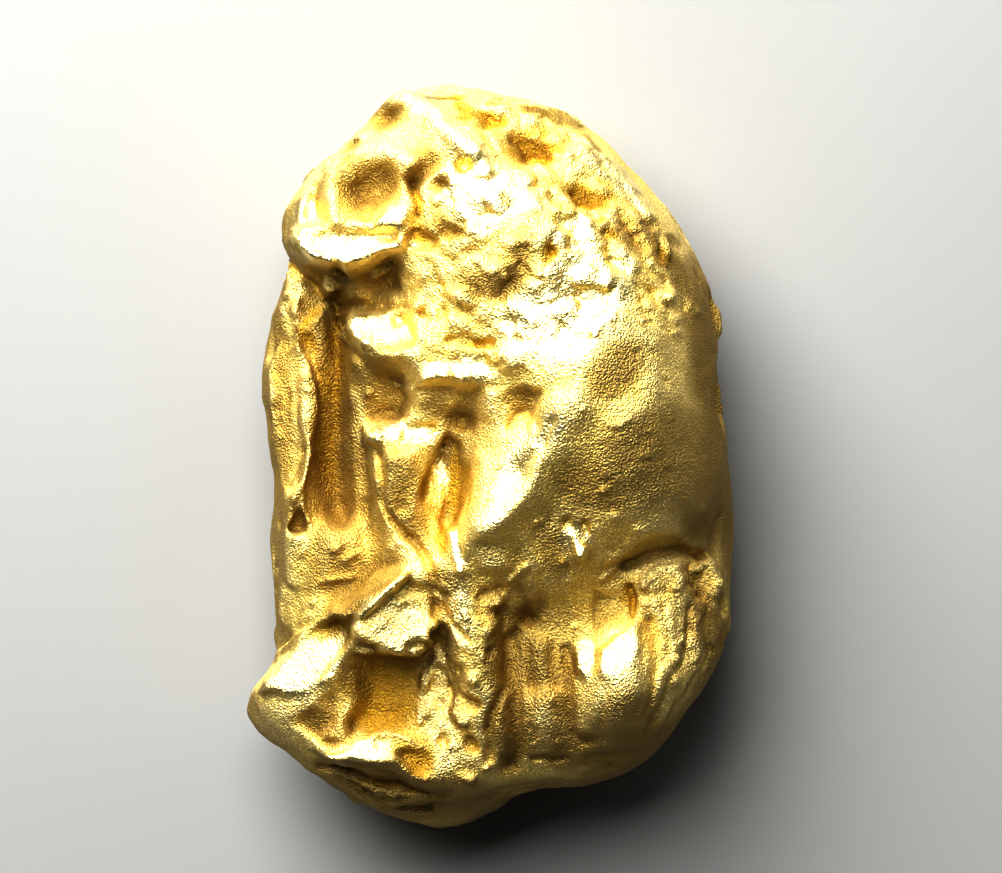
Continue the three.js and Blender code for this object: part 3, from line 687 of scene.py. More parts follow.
# %% Carve the foot
top.line([(0.45, -3.6), (0.45, -4.6), (0.5, -5.5), (0.4, -6.1)], -0.32, 0.3, 0.3, crisp=0)
top.spot((0.7, -3.2), (0.35, 0.3), -0.3)
top.plate([(0.4, -3.45), (1.4, -3.55), (1.45, -4.7), (0.45, -4.8)], (0.05, 0.3), -0.05, 0.4, 0.85)
top.line([(1.0, -3.7), (1.05, -4.6), (1.1, -5.7)], 0.13, 0.28, 0.28, crisp=0)
top.line([(1.45, -3.8), (1.5, -4.8), (1.6, -5.5)], -0.14, 0.18, 0.15, crisp=0)
for x, y, radius in [(1.26, -5.64, 0.1), (1.2, -4.8, 0.1), (1.26, -5.2, 0.05), (1.6, -3.38, 0.12)]:
    top.spot((x, y), (radius, radius), 0.12, crisp=0.5)
STREAKS = [([(2.9, -3.4), (3.0, -4.3), (2.85, -5.2)], -0.08), ([(3.3, -3.0), (3.4, -3.8)], 0.08),
           ([(4.1, -3.2), (4.05, -3.9), (3.85, -4.6)], 0.08), ([(4.3, -2.9), (4.3, -3.6), (4.15, -4.1)],
                                                               -0.1), ([(0.75, -3.7), (0.8, -4.8),
                                                                        (0.85, -5.5)], -0.09),
           ([(1.25, -3.7), (1.3, -4.5)], -0.07), ([(2.3, -4.5), (2.2, -5.1), (2.25, -5.6)], -0.07),
           ([(0.2, -3.0), (0.25, -3.6)], 0.08), ([(2.6, -4.6), (2.55, -5.2)], 0.06), ([(3.75, -3.3),
                                                                                       (3.7, -3.8)], 0.08),
           ([(0.95, -2.2), (1.0, -3.1)], -0.1), ([(1.5, -2.4), (1.6, -3.1)], 0.08), ([(0.6, -2.5),
                                                                                      (0.65, -3.0)], -0.08),
           ]
for path, height in STREAKS:
    top.line(path, height, 0.09, 0.12)
top.spot((1.9, -5.6), (0.36, 0.2), -0.2)
top.plate([(1.95, -2.55), (2.7, -2.5), (2.9, -2.8), (2.75, -3.15), (2.3, -3.4), (2.05, -3.65), (1.85, -3.3)],
          (0.1, -0.1), -0.14, 0.25)
top.plate([(2.0, -3.7), (2.5, -3.3), (2.95, -3.1), (3.0, -3.7), (2.85, -4.15), (2.6, -4.45), (2.1, -4.35)],
          (0.05, -0.34), 0.12, 0.14)
top.plate([(1.5, -3.75), (2.0, -3.7), (2.1, -4.3), (1.9, -4.45), (1.6, -4.2)], (-0.05, -0.36), 0.1, 0.12)
top.line([(2.8, -2.5), (2.83, -2.8), (2.76, -3.1)], -0.3, 0.08, 0.08, crisp=0.8)
top.line([(3.4, -4.2), (3.2, -4.9), (3.0, -5.4), (2.95, -5.8)], 0.1, 0.06, 0.08)
top.line([(3.5, -4.4), (3.32, -4.95), (3.12, -5.45)], -0.14, 0.06, 0.06)
top.line([(3.62, -4.8), (3.4, -5.3), (3.2, -5.62)], 0.1, 0.06, 0.06)
top.line([(3.15, -3.2), (3.2, -4.1), (3.1, -5.2)], -0.14, 0.22, 0.2, crisp=0)
top.line([(3.5, -3.1), (3.58, -3.8), (3.45, -4.5)], 0.1, 0.12, 0.12)
top.line([(3.9, -3.0), (3.85, -3.7), (3.7, -4.3)], -0.1, 0.1, 0.12)
top.face((4.25, -2.45), (0.4, 0.5), (0.1, 0.1), turn=10, raised=0.06)
top.line([(3.95, -2.75), (4.0, -2.3), (4.25, -2.0)], 0.12, 0.06, 0.12, crisp=0.5)
top.spot((3.7, -4.4), (0.16, 0.24), 0.22, crisp=0.3)
top.plate([(2.95, -2.25), (3.2, -2.05), (3.8, -2.05), (3.85, -2.45), (3.8, -2.65), (3.0, -2.7)],
          (-0.3, 0.1), 0.16, 0.08)
top.plate([(2.92, -2.3), (3.2, -2.1), (3.3, -2.25), (3.1, -2.65), (2.95, -2.65)], (-0.1, -0.4), 0.06, 0.06)
top.line([(3.85, -2.42), (4.2, -2.05)], 0.15, 0.1, 0.08)
top.line([(2.4, -2.05), (2.9, -1.65), (3.3, -1.5), (3.7, -1.55), (4.05, -1.75)], 0.18, 0.3, 0.07, crisp=0.5)
top.line([(2.65, -2.08), (3.2, -1.84), (3.7, -1.79), (4.15, -1.97)], -0.4, 0.12, 0.17, crisp=0.7)
top.line([(2.2, -2.42), (2.45, -2.2)], 0.14, 0.1, 0.06)
for x, y, radius in [(4.35, -1.8, 0.1), (4.2, -1.05, 0.14), (4.35, -0.85, 0.08), (4.45, -2.95, 0.1),
                     (3.05, -2.9, 0.13), (2.85, -1.4, 0.12), (4.25, -2.4, 0.1), (3.6, -2.6, 0.1)]:
    top.spot((x, y), (1.2 * radius, radius), 0.13, crisp=0.5)
top.line([(0.8, -5.98), (1.4, -5.92), (2.1, -6.0)], -0.16, 0.1, 0.1)
print("foot carved, with", len(STREAKS), "streaks")

# %% [markdown]
# The far half never lay on the stream bed, so it broke into small bright faces rather than a smooth skin.
# Ninety pressed faces with random sizes and turns make them, all leaning a little towards the far end, as
# they do on crystals that grew the same way. Placing them by hand would take longer and look no better, and
# a seeded generator gives the same faces on every run.

# %% Break the far half into faces
FACETS, FACET_SEED = 90, 5
dice = np.random.default_rng(FACET_SEED)
for _ in range(FACETS):
    x, y = dice.normal((0.6, 4.0), (1.5, 1.3))
    wide, deep = dice.uniform(0.14, 0.42), dice.uniform(0.1, 0.25)
    tilt = dice.normal((0.0, -0.32), (0.12, 0.12))
    if y > 1.6 + 0.5 * abs(x - 0.5) and math.hypot(x + 2.45, y - 5.2) > 1.0 and y < 6.3 - 0.7 * abs(x - 0.2):
        top.face((x, y), (wide, deep), tilt, turn=dice.uniform(-60, 60), raised=dice.uniform(-0.03, 0.08),
                 edge=0.4)
top.finish()
print("carved", len(top.place), "points")

# %% [markdown]
# The sides and the back. They rolled on the stream bed for longer than the top did, so they are rounder,
# but they still carry pressed faces, dimples, pits and shallow creases. No one place matters there, so a
# seeded draw puts the marks on, looking at the piece from each side in turn and last from below. Only the
# outer skin is marked, because a stroke that reached the wall of a hollow would push it out through the
# other side.

# %% Weather the sides and the back
SIDES = [((0, 2), 1, 1), ((0, 2), 1, -1), ((1, 2), 0, 1), ((1, 2), 0, -1), ((0, 1), 2, -1)]
BAND = (0.8, 4.2)  # the heights on the sides that the carving from above left alone
MARKS = {"face": 14, "dimple": 7, "crease": 6, "pit": 22}  # how many of each on one side
BEARINGS, HEIGHTS = 120, 30  # the cells that the outer skin is looked for in
WEATHER_SEED = 11
dice = np.random.default_rng(WEATHER_SEED)


def weather(clay, start, end):
    for _ in range(MARKS["face"]):
        clay.press(dice.uniform(start, end), dice.uniform(0.35, 0.95, 2), dice.uniform(0, 180))
    for _ in range(MARKS["dimple"]):
        clay.spot(dice.uniform(start, end), dice.uniform(0.35, 0.9, 2), dice.uniform(-0.2, -0.05))
    for _ in range(MARKS["crease"]):
        steps = dice.normal((0.35, 0.0), (0.1, 0.2), (4, 2)) * dice.choice((-1, 1))
        depth, soft, steep = dice.uniform((-0.2, 0.15, 0.06), (-0.08, 0.4, 0.12))
        clay.line(dice.uniform(start, end) + np.cumsum(steps, 0), depth, soft, steep, crisp=0.5)
    for _ in range(MARKS["pit"]):
        clay.spot(dice.uniform(start, end), dice.uniform(0.06, 0.18, 2), dice.uniform(-0.14, -0.05),
                  crisp=0.3)


def outer_skin(place):
    """1 on the outside and 0 inside hollows, by how far out a point is for its bearing and height."""
    out = np.hypot(*place[:, :2].T)
    bearing = np.arctan2(place[:, 1], place[:, 0]) * BEARINGS / math.tau
    height = np.clip(place[:, 2] / size[2], 0, 0.999) * HEIGHTS
    cell = (bearing.astype(int) % BEARINGS) * HEIGHTS + height.astype(int)
    farthest = np.zeros(BEARINGS * HEIGHTS)
    np.maximum.at(farthest, cell, out)
    return smooth_step(out / farthest[cell], 0.86, 0.94)


for across, up, sign in SIDES:
    flank = Clay(nugget, across, up, sign, slant=(0.3, 0.7))
    start, end = low[flank.across] * 0.85, high[flank.across] * 0.85
    if up < 2:
        start[1], end[1] = BAND
        flank.facing *= outer_skin(flank.place)
    weather(flank, start, end)
    flank.finish()
print("weathered", len(SIDES), "sides")

# %% [markdown]
# Painting. The finish changes from place to place: rough growth where pebbles could not reach, a grainy
# seam, and a burnish on the crests. Light and shade are painted into the colour too: ochre in the cups as
# painted light bounced from gold to gold, painted shade under ledges and in other sheltered places, and a
# paler colour on the burnished crests as a painted highlight. A brush that paints weights does this by hand.
# Here each dab is an oval with a centre, two radii and a turn, seen from above. The weights are attributes
# of the points, so the same paint can steer the grains, the relief and the metal.

# %% Where the surface is rough and where it is grainy
ROUGH = [((0.3, 3.2), (2.6, 1.9), 5), ((-0.5, 5.3), (1.1, 1.1), 0), ((1.7, 4.3), (1.7, 1.2), -40),
         ((3.25, 2.95), (0.7, 0.6), 0), ((-2.2, 2.5), (0.8, 0.5), 0), ((0.3, 6.9), (1.8, 0.7), 0),
         ((1.3, 6.0), (1.2, 0.45), -35), ((2.95, 4.2), (0.55, 0.9), 20), ((3.9, -3.4), (0.8, 1.2), 20),
         ((-2.9, 5.9), (0.8, 0.4), 40), ((-1.7, 0.4), (0.9, 0.35), 0), ((-3.0, 4.3), (1.2, 0.4), 0)]
GRAINY = [((-0.75, -3.3), (0.5, 1.2), 10), ((-0.2, -3.2), (0.45, 1.1), 0), ((-0.95, -4.9), (0.5, 1.6), 5),
          ((-1.9, -3.4), (0.6, 0.4), 30), ((3.3, -2.5), (0.5, 0.4), 0), ((4.25, -2.4), (0.4, 0.5), 0),
          ((-2.5, 5.5), (0.6, 0.5), 0)]
print(len(ROUGH), "rough and", len(GRAINY), "grainy dabs")

# %% Where the gold gets ochre bounce light, painted shade, or a burnish with a painted highlight
# The ochre dabs mark the cups, whose colour gets painted light bounced from gold to gold.
PAINTED_BOUNCE = [((-0.45, 6.85), (0.35, 0.18), -35), ((0.9, 6.85), (0.4, 0.12), -10), ((2.45, 5.65), (0.35, 0.1),
                                                                               -45), ((3.3, 4.0),
                                                                                      (0.12, 0.4), 30),
         ((-0.9, 7.25), (0.35, 0.1), 10), ((2.1, 4.6), (0.12, 0.2), -30), ((0.9, 6.08), (0.62, 0.45), -15),
         ((0.0, 6.7), (0.5, 0.3), 0), ((1.88, 5.1), (0.58, 0.4), 12), ((-1.47, 4.3), (0.22, 0.3), 0),
         ((-0.68, -0.6), (0.25, 0.85), 0), ((-3.3, 1.2), (0.35, 2.2), 0), ((-2.15, -4.8), (0.75, 1.0), -8),
         ((-1.45, -5.95), (0.4, 0.42), 0), ((2.8, -2.75), (0.15, 0.4), 0), ((1.85, -1.36), (0.15, 0.25), 0),
         ((2.25, 4.4), (0.25, 0.2), 0), ((-0.1, 2.2), (0.35, 0.15), 0), ((-2.6, -3.0), (1.2, 0.3), 38),
         ((-1.4, 5.1), (0.15, 0.4), 10), ((-0.58, 5.75), (0.25, 0.2), 0), ((0.5, 2.3), (0.2, 0.2), 0),
         ((1.85, 3.05), (0.45, 0.15), -25), ((1.2, 4.0), (0.25, 0.25), 0), ((1.05, 5.35), (0.4, 0.15), 0),
         ((-0.2, 4.75), (0.3, 0.08), 0), ((-1.0, -1.6), (0.2, 0.3), 0), ((-1.4, -0.6), (0.12, 0.4), -15),
         ((-3.6, 2.6), (0.2, 0.5), -10)]
# The umber dabs are painted shade: they darken the colour under ledges, in cups and creases, on the right
# flank and towards the near end.
PAINTED_SHADE = [((0.8, 6.1), (0.38, 0.28), -15), ((1.95, 5.1), (0.38, 0.28), 10), ((0.1, 7.15), (0.25, 0.14), 0),
         ((1.35, 6.75), (0.5, 0.2), -32), ((2.95, 4.5), (0.3, 0.5), 30), ((0.85, 6.95), (0.3, 0.12), 0),
         ((2.0, 6.2), (0.35, 0.12), -42), ((3.6, 3.7), (0.3, 0.7), 30), ((-1.0, 7.15), (0.3, 0.12), 20),
         ((-2.2, -2.35), (0.7, 0.3), 45), ((-3.3, -5.25), (0.6, 0.35), -28), ((-0.9, 5.3), (0.3, 0.3), 0),
         ((0.3, 5.0), (0.25, 0.2), 0), ((-0.3, 3.4), (0.5, 0.3), 0), ((-3.1, -0.6), (0.7, 0.9), 0),
         ((-2.4, 1.6), (0.7, 0.6), 0), ((0.5, -5.3), (0.5, 0.9), 0), ((1.9, -5.7), (1.3, 0.5), 0),
         ((3.9, -0.2), (0.9, 1.2), 0), ((-2.1, 1.0), (0.5, 0.35), 0), ((-1.6, -1.3), (0.3, 0.7), 30),
         ((-3.1, -1.6), (0.8, 0.4), 0), ((-2.6, 1.9), (0.5, 0.3), 0), ((-1.7, -6.6), (2.6, 0.5), -10),
         ((-2.45, 5.4), (0.75, 0.55), 0), ((-2.2, 6.85), (0.4, 0.25), 20), ((2.9, -6.0), (1.5, 0.6), 30),
         ((4.7, 0.8), (0.5, 2.4), 0), ((0.95, -4.2), (0.5, 0.8), 0), ((4.3, -3.4), (0.4, 0.9), 20),
         ((4.3, -0.6), (0.7, 1.6), 0), ((2.6, -5.2), (0.8, 0.7), 40), ((-2.9, -2.9), (0.8, 0.3), 30),
         ((-2.8, 0.2), (0.3, 1.2), 0), ((0.1, -4.4), (0.25, 1.6), 0), ((-0.6, 0.75), (0.5, 0.35), 0),
         ((-2.4, 1.55), (0.7, 0.45), -10), ((-1.2, 1.0), (0.3, 0.2), 0), ((-2.5, 3.35), (0.8, 0.4), 5),
         ((-2.0, 3.7), (0.45, 0.35), 0), ((0.5, 1.2), (0.4, 0.2), 0), ((-1.95, -1.0), (0.15, 1.1), 22),
         ((2.0, -0.6), (0.8, 0.5), -20), ((1.3, -1.9), (0.35, 0.5), 0), ((0.7, -3.2), (0.5, 0.4), 0),
         ((0.4, -5.2), (0.45, 1.2), 0), ((1.9, -5.8), (1.1, 0.5), 0), ((1.45, -4.6), (0.3, 0.9), 0),
         ((-3.93, -1.2), (0.3, 0.4), 0), ((-3.0, -5.5), (0.45, 0.25), 20), ((-2.75, -4.5), (0.3, 0.5), 20),
         ((0.4, 3.7), (0.35, 0.85), -20), ((-1.4, 5.7), (0.3, 0.5), -30), ((-2.15, 6.8), (0.5, 0.3), 20),
         ((-2.45, 5.45), (0.72, 0.5), 0), ((-2.75, 6.1), (0.3, 0.2), 30), ((3.4, 0.0), (1.6, 1.1), 0),
         ((-3.1, -1.0), (0.8, 0.9), 0), ((-1.0, -2.45), (0.3, 0.4), 30), ((-1.7, -6.9), (2.4, 0.6), -10),
         ((-1.85, -0.6), (0.5, 0.9), 10), ((-0.9, 4.4), (0.4, 0.22), 0), ((-0.85, 5.3), (0.25, 0.25), 0),
         ((2.7, 4.4), (0.5, 0.5), 0), ((-3.25, 1.2), (0.45, 2.3), 0), ((-4.2, 1.2), (0.25, 2.4), 0),
         ((-2.9, -2.3), (1.0, 0.6), 0), ((2.4, 1.7), (0.7, 0.5), 40), ((4.3, 2.5), (0.6, 1.8), 0)]
# The burnished dabs are worn smooth and glossy, and their paler colour is also a painted highlight on faces
# that mirror the light.
BURNISH_AND_HIGHLIGHT = [((-1.0, -4.9), (0.45, 1.5), 5), ((-0.7, -3.0), (0.4, 0.8), 10), ((-2.35, -2.95), (1.0, 0.15),
                                                                              44), ((2.1, 3.3), (0.8, 0.6),
                                                                                    0), ((-1.85, -3.3),
                                                                                         (0.55, 0.65), 0),
             ((1.05, 0.5), (0.35, 0.6), -30), ((-2.2, 4.2), (0.9, 0.25), 0), ((0.45, -0.25), (0.3, 1.3),
                                                                              -28), ((-3.6, -4.15),
                                                                                     (1.1, 0.5), 38),
             ((2.45, -3.8), (0.5, 0.6), 0), ((1.8, -4.05), (0.3, 0.4), 0), ((-2.6, -5.82), (0.75, 0.25), 0),
             ((-2.2, 2.5), (0.8, 0.45), 0), ((-0.6, 1.7), (1.0, 0.3), 0), ((-1.8, 0.45), (0.8, 0.25), 5),
             ((-0.95, 6.6), (0.9, 0.4), -50), ((-1.9, 4.65), (0.5, 0.3), 35), ((-2.9, 4.1), (1.2, 0.3), 0),
             ((-3.65, 4.75), (0.35, 0.5), 0), ((2.6, 5.4), (1.0, 0.24), -46), ((1.7, 4.4), (0.5, 0.45), 0),
             ((1.2, 2.7), (1.4, 1.0), 20), ((1.9, 3.5), (1.0, 0.5), 0), ((-0.3, 5.3), (0.7, 0.9), 0),
             ((0.4, 5.1), (0.8, 0.5), 0), ((1.7, -1.6), (0.3, 0.5), 0), ((-0.7, -1.85), (0.15, 0.5), 0),
             ((-1.0, -0.4), (0.2, 0.6), 0)]


print(len(PAINTED_BOUNCE), "ochre,", len(PAINTED_SHADE), "umber and", len(BURNISH_AND_HIGHLIGHT), "burnished dabs")

# %% The brush
PAINTS = {"rough": ROUGH, "grainy": GRAINY, "painted_bounce": PAINTED_BOUNCE, "painted_shade": PAINTED_SHADE, "burnish_and_highlight": BURNISH_AND_HIGHLIGHT}


def painted(place, ovals):
    """1 inside the ovals and 0 away from them, for points that are seen from above."""
    weight = np.zeros(len(place))
    for centre, radii, turn in ovals:
        off = place[:, :2] - centre
        a = math.radians(turn)
        along = off @ (math.cos(a), math.sin(a)) / radii[0]
        beside = off @ (-math.sin(a), math.cos(a)) / radii[1]
        weight = np.maximum(weight, 1 - smooth_step(np.hypot(along, beside), 0.6, 1.15))
    return weight * smooth_step(place[:, 2], 1.0, 2.2)


def paint(mesh):
    """Writes the dabs as weights, and as "side" how far a point is from facing up or the far end: painted
    shade.
    """
    place = read(mesh)
    place = place + 2 * wavering(place)
    for name, ovals in PAINTS.items():
        write(mesh, name, painted(place, ovals))
    _, back, up = read(mesh, "normal").T
    facing = np.maximum(smooth_step(up, 0.2, 0.75), smooth_step(back, 0.2, 0.6))
    write(mesh, "side", 1 - np.maximum(facing, smooth_step(place[:, 2], 4.5, 6.0)))


paint(nugget.data)
print("painted", len(nugget.data.attributes), "attributes")

# %% [markdown]
# The rough patches. Where pebbles could not reach, the gold keeps the little lumps it grew as. They are far
# too many to place by hand, so Geometry Nodes scatter them over the patches: more where a painted weight is
# high, each a small rough ball of its own size, sunk into the surface. A seed keeps them the same on every
# run.

# %% A geometry tree's frame
gold = bpy.data.materials.new("native_gold")


class GeometryTree(Tree):
    """A geometry node tree with named inputs that all have a starting value."""

    def __init__(self, name, **inputs):
        self.group = bpy.data.node_groups.new(name, "GeometryNodeTree")
        super().__init__(self.group)
        self.group.interface.new_socket("Geometry", in_out="INPUT", socket_type="NodeSocketGeometry")
        self.group.interface.new_socket("Geometry", in_out="OUTPUT", socket_type="NodeSocketGeometry")
        self.keys = {}
        for label, value in inputs.items():
            kind = "NodeSocketInt" if isinstance(value, int) else "NodeSocketFloat"
            socket = self.group.interface.new_socket(label, in_out="INPUT", socket_type=kind)
            self.keys[label] = (socket.identifier, value)
        self.entry = self.nodes.new("NodeGroupInput")

    def input(self, name):
        return Wire(self, self.entry.outputs[name])

    def attribute(self, name):
        settings = {"data_type": "FLOAT"}
        return self.node("GeometryNodeInputNamedAttribute", settings, {"Name": name}, "Attribute")

    def close(self, geometry, material):
        """Ends the tree: instances become real mesh, and all of it takes the material."""
        real = self.node("GeometryNodeRealizeInstances", {}, {0: geometry})
        done = self.node("GeometryNodeSetMaterial", {}, {"Geometry": real, "Material": material})
        self.links.new(done.socket, self.nodes.new("NodeGroupOutput").inputs[0])

    def run(self, piece):
        """The mesh that the tree makes from a piece. The piece keeps no modifier."""
        modifier = piece.modifiers.new(self.group.name, "NODES")
        modifier.node_group = self.group
        for identifier, value in self.keys.values():
            modifier[identifier] = value
        graph = bpy.context.evaluated_depsgraph_get()
        mesh = bpy.data.meshes.new_from_object(piece.evaluated_get(graph))
        piece.modifiers.clear()
        return mesh


# %% Scatter the grains
SUNK = 0.05  # how deep the middle of a grain lies in the surface
THIN, THICK = (0.6, 0.6, 0.6), (1.2, 1.2, 1.2)  # how far a grain can be from a round ball
FULL_TURN = (6.28, 6.28, 6.28)


def grains_tree(weight, crowding, smallest, largest, seed):
    tree = GeometryTree(f"{weight} grains", Crowding=crowding, Smallest=smallest, Largest=largest, Seed=seed)
    density = tree.attribute(weight) ** 2 * tree.input("Crowding")
    scatter = {"Mesh": tree.input("Geometry"), "Density": density, "Seed": tree.input("Seed")}
    points = tree.node("GeometryNodeDistributePointsOnFaces", {"distribute_method": "RANDOM"}, scatter)
    ball = tree.node("GeometryNodeMeshIcoSphere", {}, {"Radius": 1.0, "Subdivisions": 2})
    scale = tree.node("FunctionNodeRandomValue", {"data_type": "FLOAT_VECTOR"},
                      {"Min": THIN, "Max": THICK, "Seed": tree.input("Seed")})
    turn = tree.node("FunctionNodeRandomValue", {"data_type": "FLOAT_VECTOR"},
                     {"Min": NOWHERE, "Max": FULL_TURN, "Seed": tree.input("Seed") + 1})
    chance = tree.node("FunctionNodeRandomValue", {"data_type": "FLOAT"},
                       {"Min_001": 0.0, "Max_001": 1.0, "Seed": tree.input("Seed") + 2}, "Value_001")
    radius = tree.input("Smallest") + chance ** 3 * (tree.input("Largest") - tree.input("Smallest"))
    normal = Wire(tree, points.socket.node.outputs["Normal"])
    inwards = tree.scaled(normal, -SUNK)
    points = tree.node("GeometryNodeSetPosition", {}, {"Geometry": points, "Offset": inwards})
    balls = tree.node("GeometryNodeInstanceOnPoints", {}, {"Points": points, "Instance": ball,
                                                           "Rotation": turn,
                                                           "Scale": tree.scaled(scale, radius)})
    tree.close(balls, gold)
    return tree


rough_tree = grains_tree("rough", crowding=0.9, smallest=0.05, largest=0.19, seed=3)
seam_tree = grains_tree("grainy", crowding=9.0, smallest=0.05, largest=0.16, seed=8)
rough_grains = add_piece("rough_grains", rough_tree.run(nugget))
seam_grains = add_piece("seam_grains", seam_tree.run(nugget))
print("grains", len(rough_grains.data.polygons), len(seam_grains.data.polygons), "faces")

# %% [markdown]
# Fusing. The grains only overlap the body so far. A second, finer voxel remesh casts them as one skin, and
# two rounds of smoothing melt the joins into the small fillets that real grown-together lumps have. A
# Boolean union would keep the joins sharp.

# %% Fuse the grains to the body
FINE_VOXEL = 0.05
MELTING = 2  # rounds of smoothing that round off the joins
fused = bmesh.new()
for piece in (nugget, rough_grains, seam_grains):
    fused.from_mesh(piece.data)
fused.to_mesh(nugget.data)
fused.free()
for piece in (rough_grains, seam_grains):
    bpy.data.objects.remove(piece)
remesh(nugget, FINE_VOXEL)
melting = nugget.modifiers.new("melt", "SMOOTH")
melting.factor, melting.iterations = 0.5, MELTING
apply_modifiers(nugget)
print("fused", len(nugget.data.vertices), "points")

# %% [markdown]
# Crystal faces and wear. A Voronoi pattern divides space into cells. If each cell's own random colour is
# used as a slope, the surface in it tips one way as a flat face, with a small step to the next. That is how
# rough native gold breaks up the light. Noise that is folded at its middle value swells into round lumps
# with sharp valleys, for the rough patches, and slow noise gives the dimples of a rolled pebble everywhere
# else.

# %% Raise the fine relief
def relief_tree():
    tree = GeometryTree("relief", Lump_size=1.0, Lump_height=0.12, Nub_size=0.38, Nub_height=0.06,
                        Face_size=0.4, Face_tilt=0.18, Small_size=0.16, Small_tilt=0.24,
                        Dimple_size=1.1, Dimple_depth=0.12, Grain_size=0.2, Grain_depth=0.02)
    position = tree.node("GeometryNodeInputPosition")
    rough, grainy = tree.attribute("rough"), tree.attribute("grainy")

    def tipped(size, tilt):
        scale = tree.maths("DIVIDE", 1.0, tree.input(size))
        values = {"Vector": position, "Scale": scale}
        colour = tree.node("ShaderNodeTexVoronoi", {"feature": "F1"}, values, "Color")
        centre = Wire(tree, colour.socket.node.outputs["Position"])
        slope = tree.vector("SUBTRACT", colour, (0.5, 0.5, 0.5))
        off = tree.vector("SUBTRACT", position, centre)
        return tree.vector("DOT_PRODUCT", slope, off, output="Value") * tree.input(tilt)

    def waves(size, depth, detail):
        scale = tree.maths("DIVIDE", 1.0, tree.input(size))
        values = {"Vector": position, "Scale": scale, "Detail": detail, "Roughness": 0.55}
        return (tree.node("ShaderNodeTexNoise", {}, values) - 0.5) * tree.input(depth)

    def lumps(size, height):
        swell = waves(size, height, 1.0)
        return tree.maths("ABSOLUTE", swell) * 2

    height = lumps("Lump_size", "Lump_height") * rough
    height = height + lumps("Nub_size", "Nub_height") * (rough * 0.8 + grainy)
    height = height + tipped("Face_size", "Face_tilt") * (rough * 0.8 + grainy * 0.3 + 0.2)
    height = height + tipped("Small_size", "Small_tilt") * (rough * 0.5 + grainy + 0.1)
    height = height + waves("Dimple_size", "Dimple_depth", 2.0)
    height = height + waves("Grain_size", "Grain_depth", 2.0) * (rough + grainy + 0.5)
    normal = tree.node("GeometryNodeInputNormal")
    offset = tree.scaled(normal, height)
    moved = tree.node("GeometryNodeSetPosition", {}, {"Geometry": tree.input("Geometry"), "Offset": offset})
    tree.close(moved, gold)
    return tree


paint(nugget.data)
nugget.data = relief_tree().run(nugget)
print("relief on", len(nugget.data.vertices), "points")

# %% [markdown]
# The mesh is thinned to the size that an exported piece may have. The Decimate modifier takes points from
# flat places first, so the creases keep theirs.

# %% Thin the mesh
MOST_TRIANGLES = 190_000
triangles = sum(len(polygon.vertices) - 2 for polygon in nugget.data.polygons)
thinning = nugget.modifiers.new("thin", "DECIMATE")
thinning.ratio = min(1.0, MOST_TRIANGLES / triangles)
apply_modifiers(nugget)
print("from", triangles, "to", len(nugget.data.polygons), "faces")

# %% [markdown]
# Worn crests and painted shade in hollows. How far a point stands above its surroundings tells what the
# stream did to it and how deep it lies. The metal pales the crests, partly for wear and partly as a painted
# highlight, and darkens the hollows as painted shade. The surroundings are found by averaging each point
# with its neighbours many times over, and the difference is kept as an attribute for the metal to read.

# %% Measure crests and hollows
def averaged(mesh, place, rounds):
    edges = np.empty(len(mesh.edges) * 2, np.int32)
    mesh.edges.foreach_get("vertices", edges)
    a, b = edges.reshape(-1, 2).T
    count = np.bincount(a, minlength=len(place)) + np.bincount(b, minlength=len(place)) + 1
    for _ in range(rounds):
        total = [np.bincount(a, place[b, i], len(place)) + np.bincount(b, place[a, i], len(place))
                 for i in range(3)]
        place = (place + np.transpose(total)) / count[:, None]
    return place


CREST_ROUNDS = 40
place = read(nugget.data)
place[:, 2] = np.maximum(place[:, 2], 0)  # nothing goes through the bench
write(nugget.data, "position", place)
above = ((place - averaged(nugget.data, place, CREST_ROUNDS)) * read(nugget.data, "normal")).sum(1)
write(nugget.data, "crest", above)
paint(nugget.data)
print("crests up to", above.max().round(3), "hollows down to", above.min().round(3), "mm")

# %% Put the piece in metres
nugget.data.transform(Matrix.Scale(MM, 4))
for polygon in nugget.data.polygons:
    polygon.use_smooth = True
print("piece", len(nugget.data.polygons), "faces in metres")

# %% [markdown]
# The metal. Native gold holds some silver, so it is paler than a ring. It could be one plain metal, but a
# real nugget has several finishes: crests that pebbles burnished, and a satin skin full of tiny pits
# elsewhere. Light and shade are painted into the colour as well: rich ochre in the cups stands in for light
# that bounces from gold to gold, the hollows, the sheltered places and the flanks get painted shade, and the
# crests and burnished places a paler colour as a painted highlight. So the colour starts as clean gold and
# each painted or measured attribute mixes in its own finish or its painted light or shade. Only the colour,
# the roughness and the bump vary. The fine bump is far smaller than the mesh could hold, and it gives the
# satin its sparkle.

# %% Start the metal and its helpers
gold.use_nodes = True
paint_tree = Tree(gold.node_tree)
shader = gold.node_tree.nodes["Principled BSDF"]
shader.inputs["Metallic"].default_value = 1


def reading(name):
    return paint_tree.node("ShaderNodeAttribute", {"attribute_name": name}, {}, "Fac")


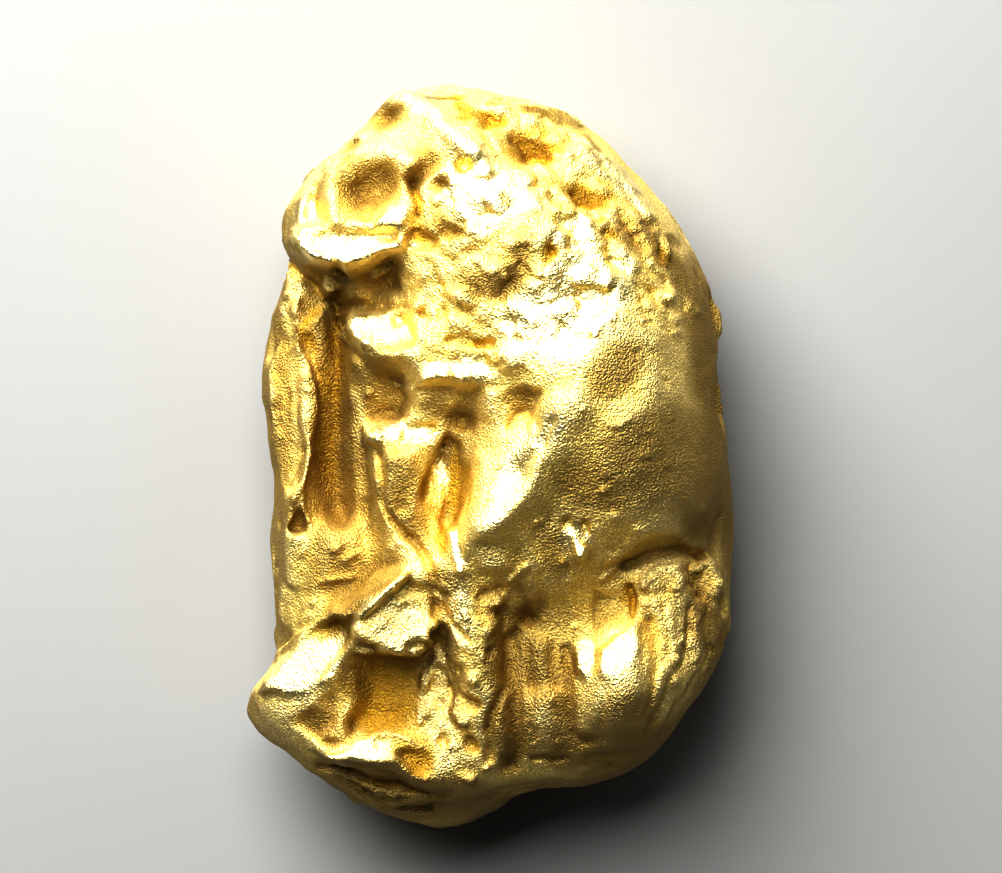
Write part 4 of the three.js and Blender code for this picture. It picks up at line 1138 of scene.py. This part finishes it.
def pattern(size, detail):
    """Noise with a size in millimetres, fixed to the piece."""
    place = paint_tree.node("ShaderNodeTexCoord", {}, {}, "Object")
    values = {"Vector": place, "Scale": 1 / (size * MM), "Detail": detail}
    return paint_tree.node("ShaderNodeTexNoise", {}, values)


print("the metal reads paint and measures patterns")

# %% Mix the colour of the metal
crest, grainy = reading("crest"), reading("grainy")
painted_bounce, painted_shade, side, burnish_and_highlight = (reading(name) for name in ("painted_bounce", "painted_shade", "side", "burnish_and_highlight"))
# Hollows below their surroundings are darkened: painted shade.
painted_hollow_shade = (0 - crest).between(0.01, 0.09)
# Crests are paled, partly for wear and partly as a painted highlight.
worn_and_highlit = crest.between(0.0, 0.08)
patches = pattern(1.3, 3.0)
clean, tarnished = (1.0, 0.83, 0.38, 1), (0.96, 0.79, 0.32, 1)
colour = paint_tree.mix(patches.between(0.35, 0.65), clean, tarnished)
# The hollows get painted shade, the cups an ochre of painted bounce light, and the crests and burnished
# places a paler colour that is a painted highlight.
for where, most, tint in [(painted_hollow_shade, 0.75, (0.6, 0.45, 0.15)), (painted_bounce, 0.85, (0.58, 0.38, 0.035)),
                          (worn_and_highlit, 0.6, (1.0, 0.86, 0.46)), (burnish_and_highlight, 0.8, (1.0, 0.87, 0.47))]:
    colour = paint_tree.mix(where * most, colour, (*tint, 1))
# The umber weight multiplies the colour darker, as painted shade.
painted_shade_tint = paint_tree.mix(painted_shade * 0.8, (1, 1, 1, 1), (0.5, 0.43, 0.3, 1))
colour = paint_tree.vector("MULTIPLY", colour, painted_shade_tint)
# Flanks that face neither up nor the far end are darkened towards brown: painted shade.
colour = paint_tree.mix(side * 0.85, colour, (0.3, 0.2, 0.055, 1))
pits = 1 - pattern(0.04, 2.0).between(0.38, 0.56)
colour = paint_tree.mix(pits * (0.45 - burnish_and_highlight * 0.3), colour, (0.45, 0.34, 0.12, 1))
print("colour from", len(gold.node_tree.nodes), "nodes")

# %% Gloss and grain of the metal
bite = pattern(0.045, 2.0)
gloss = 0.6 + (patches - 0.5) * 0.16 - worn_and_highlit * 0.06 - burnish_and_highlight * 0.16
grain = bite * (0.9 + grainy * 0.4 - burnish_and_highlight * 0.4) + pattern(0.16, 2.0) * 0.3
bump = paint_tree.node("ShaderNodeBump", {}, {"Strength": 1.0, "Distance": 0.065 * MM, "Height": grain})
for name, wire in (("Base Color", colour), ("Roughness", gloss), ("Normal", bump)):
    paint_tree.links.new(wire.socket, shader.inputs[name])
print("native gold is ready")

# %% Tie the piece to its body
nugget.data.materials.clear()
nugget.data.materials.append(gold)
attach(nugget, "root")
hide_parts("nugget")
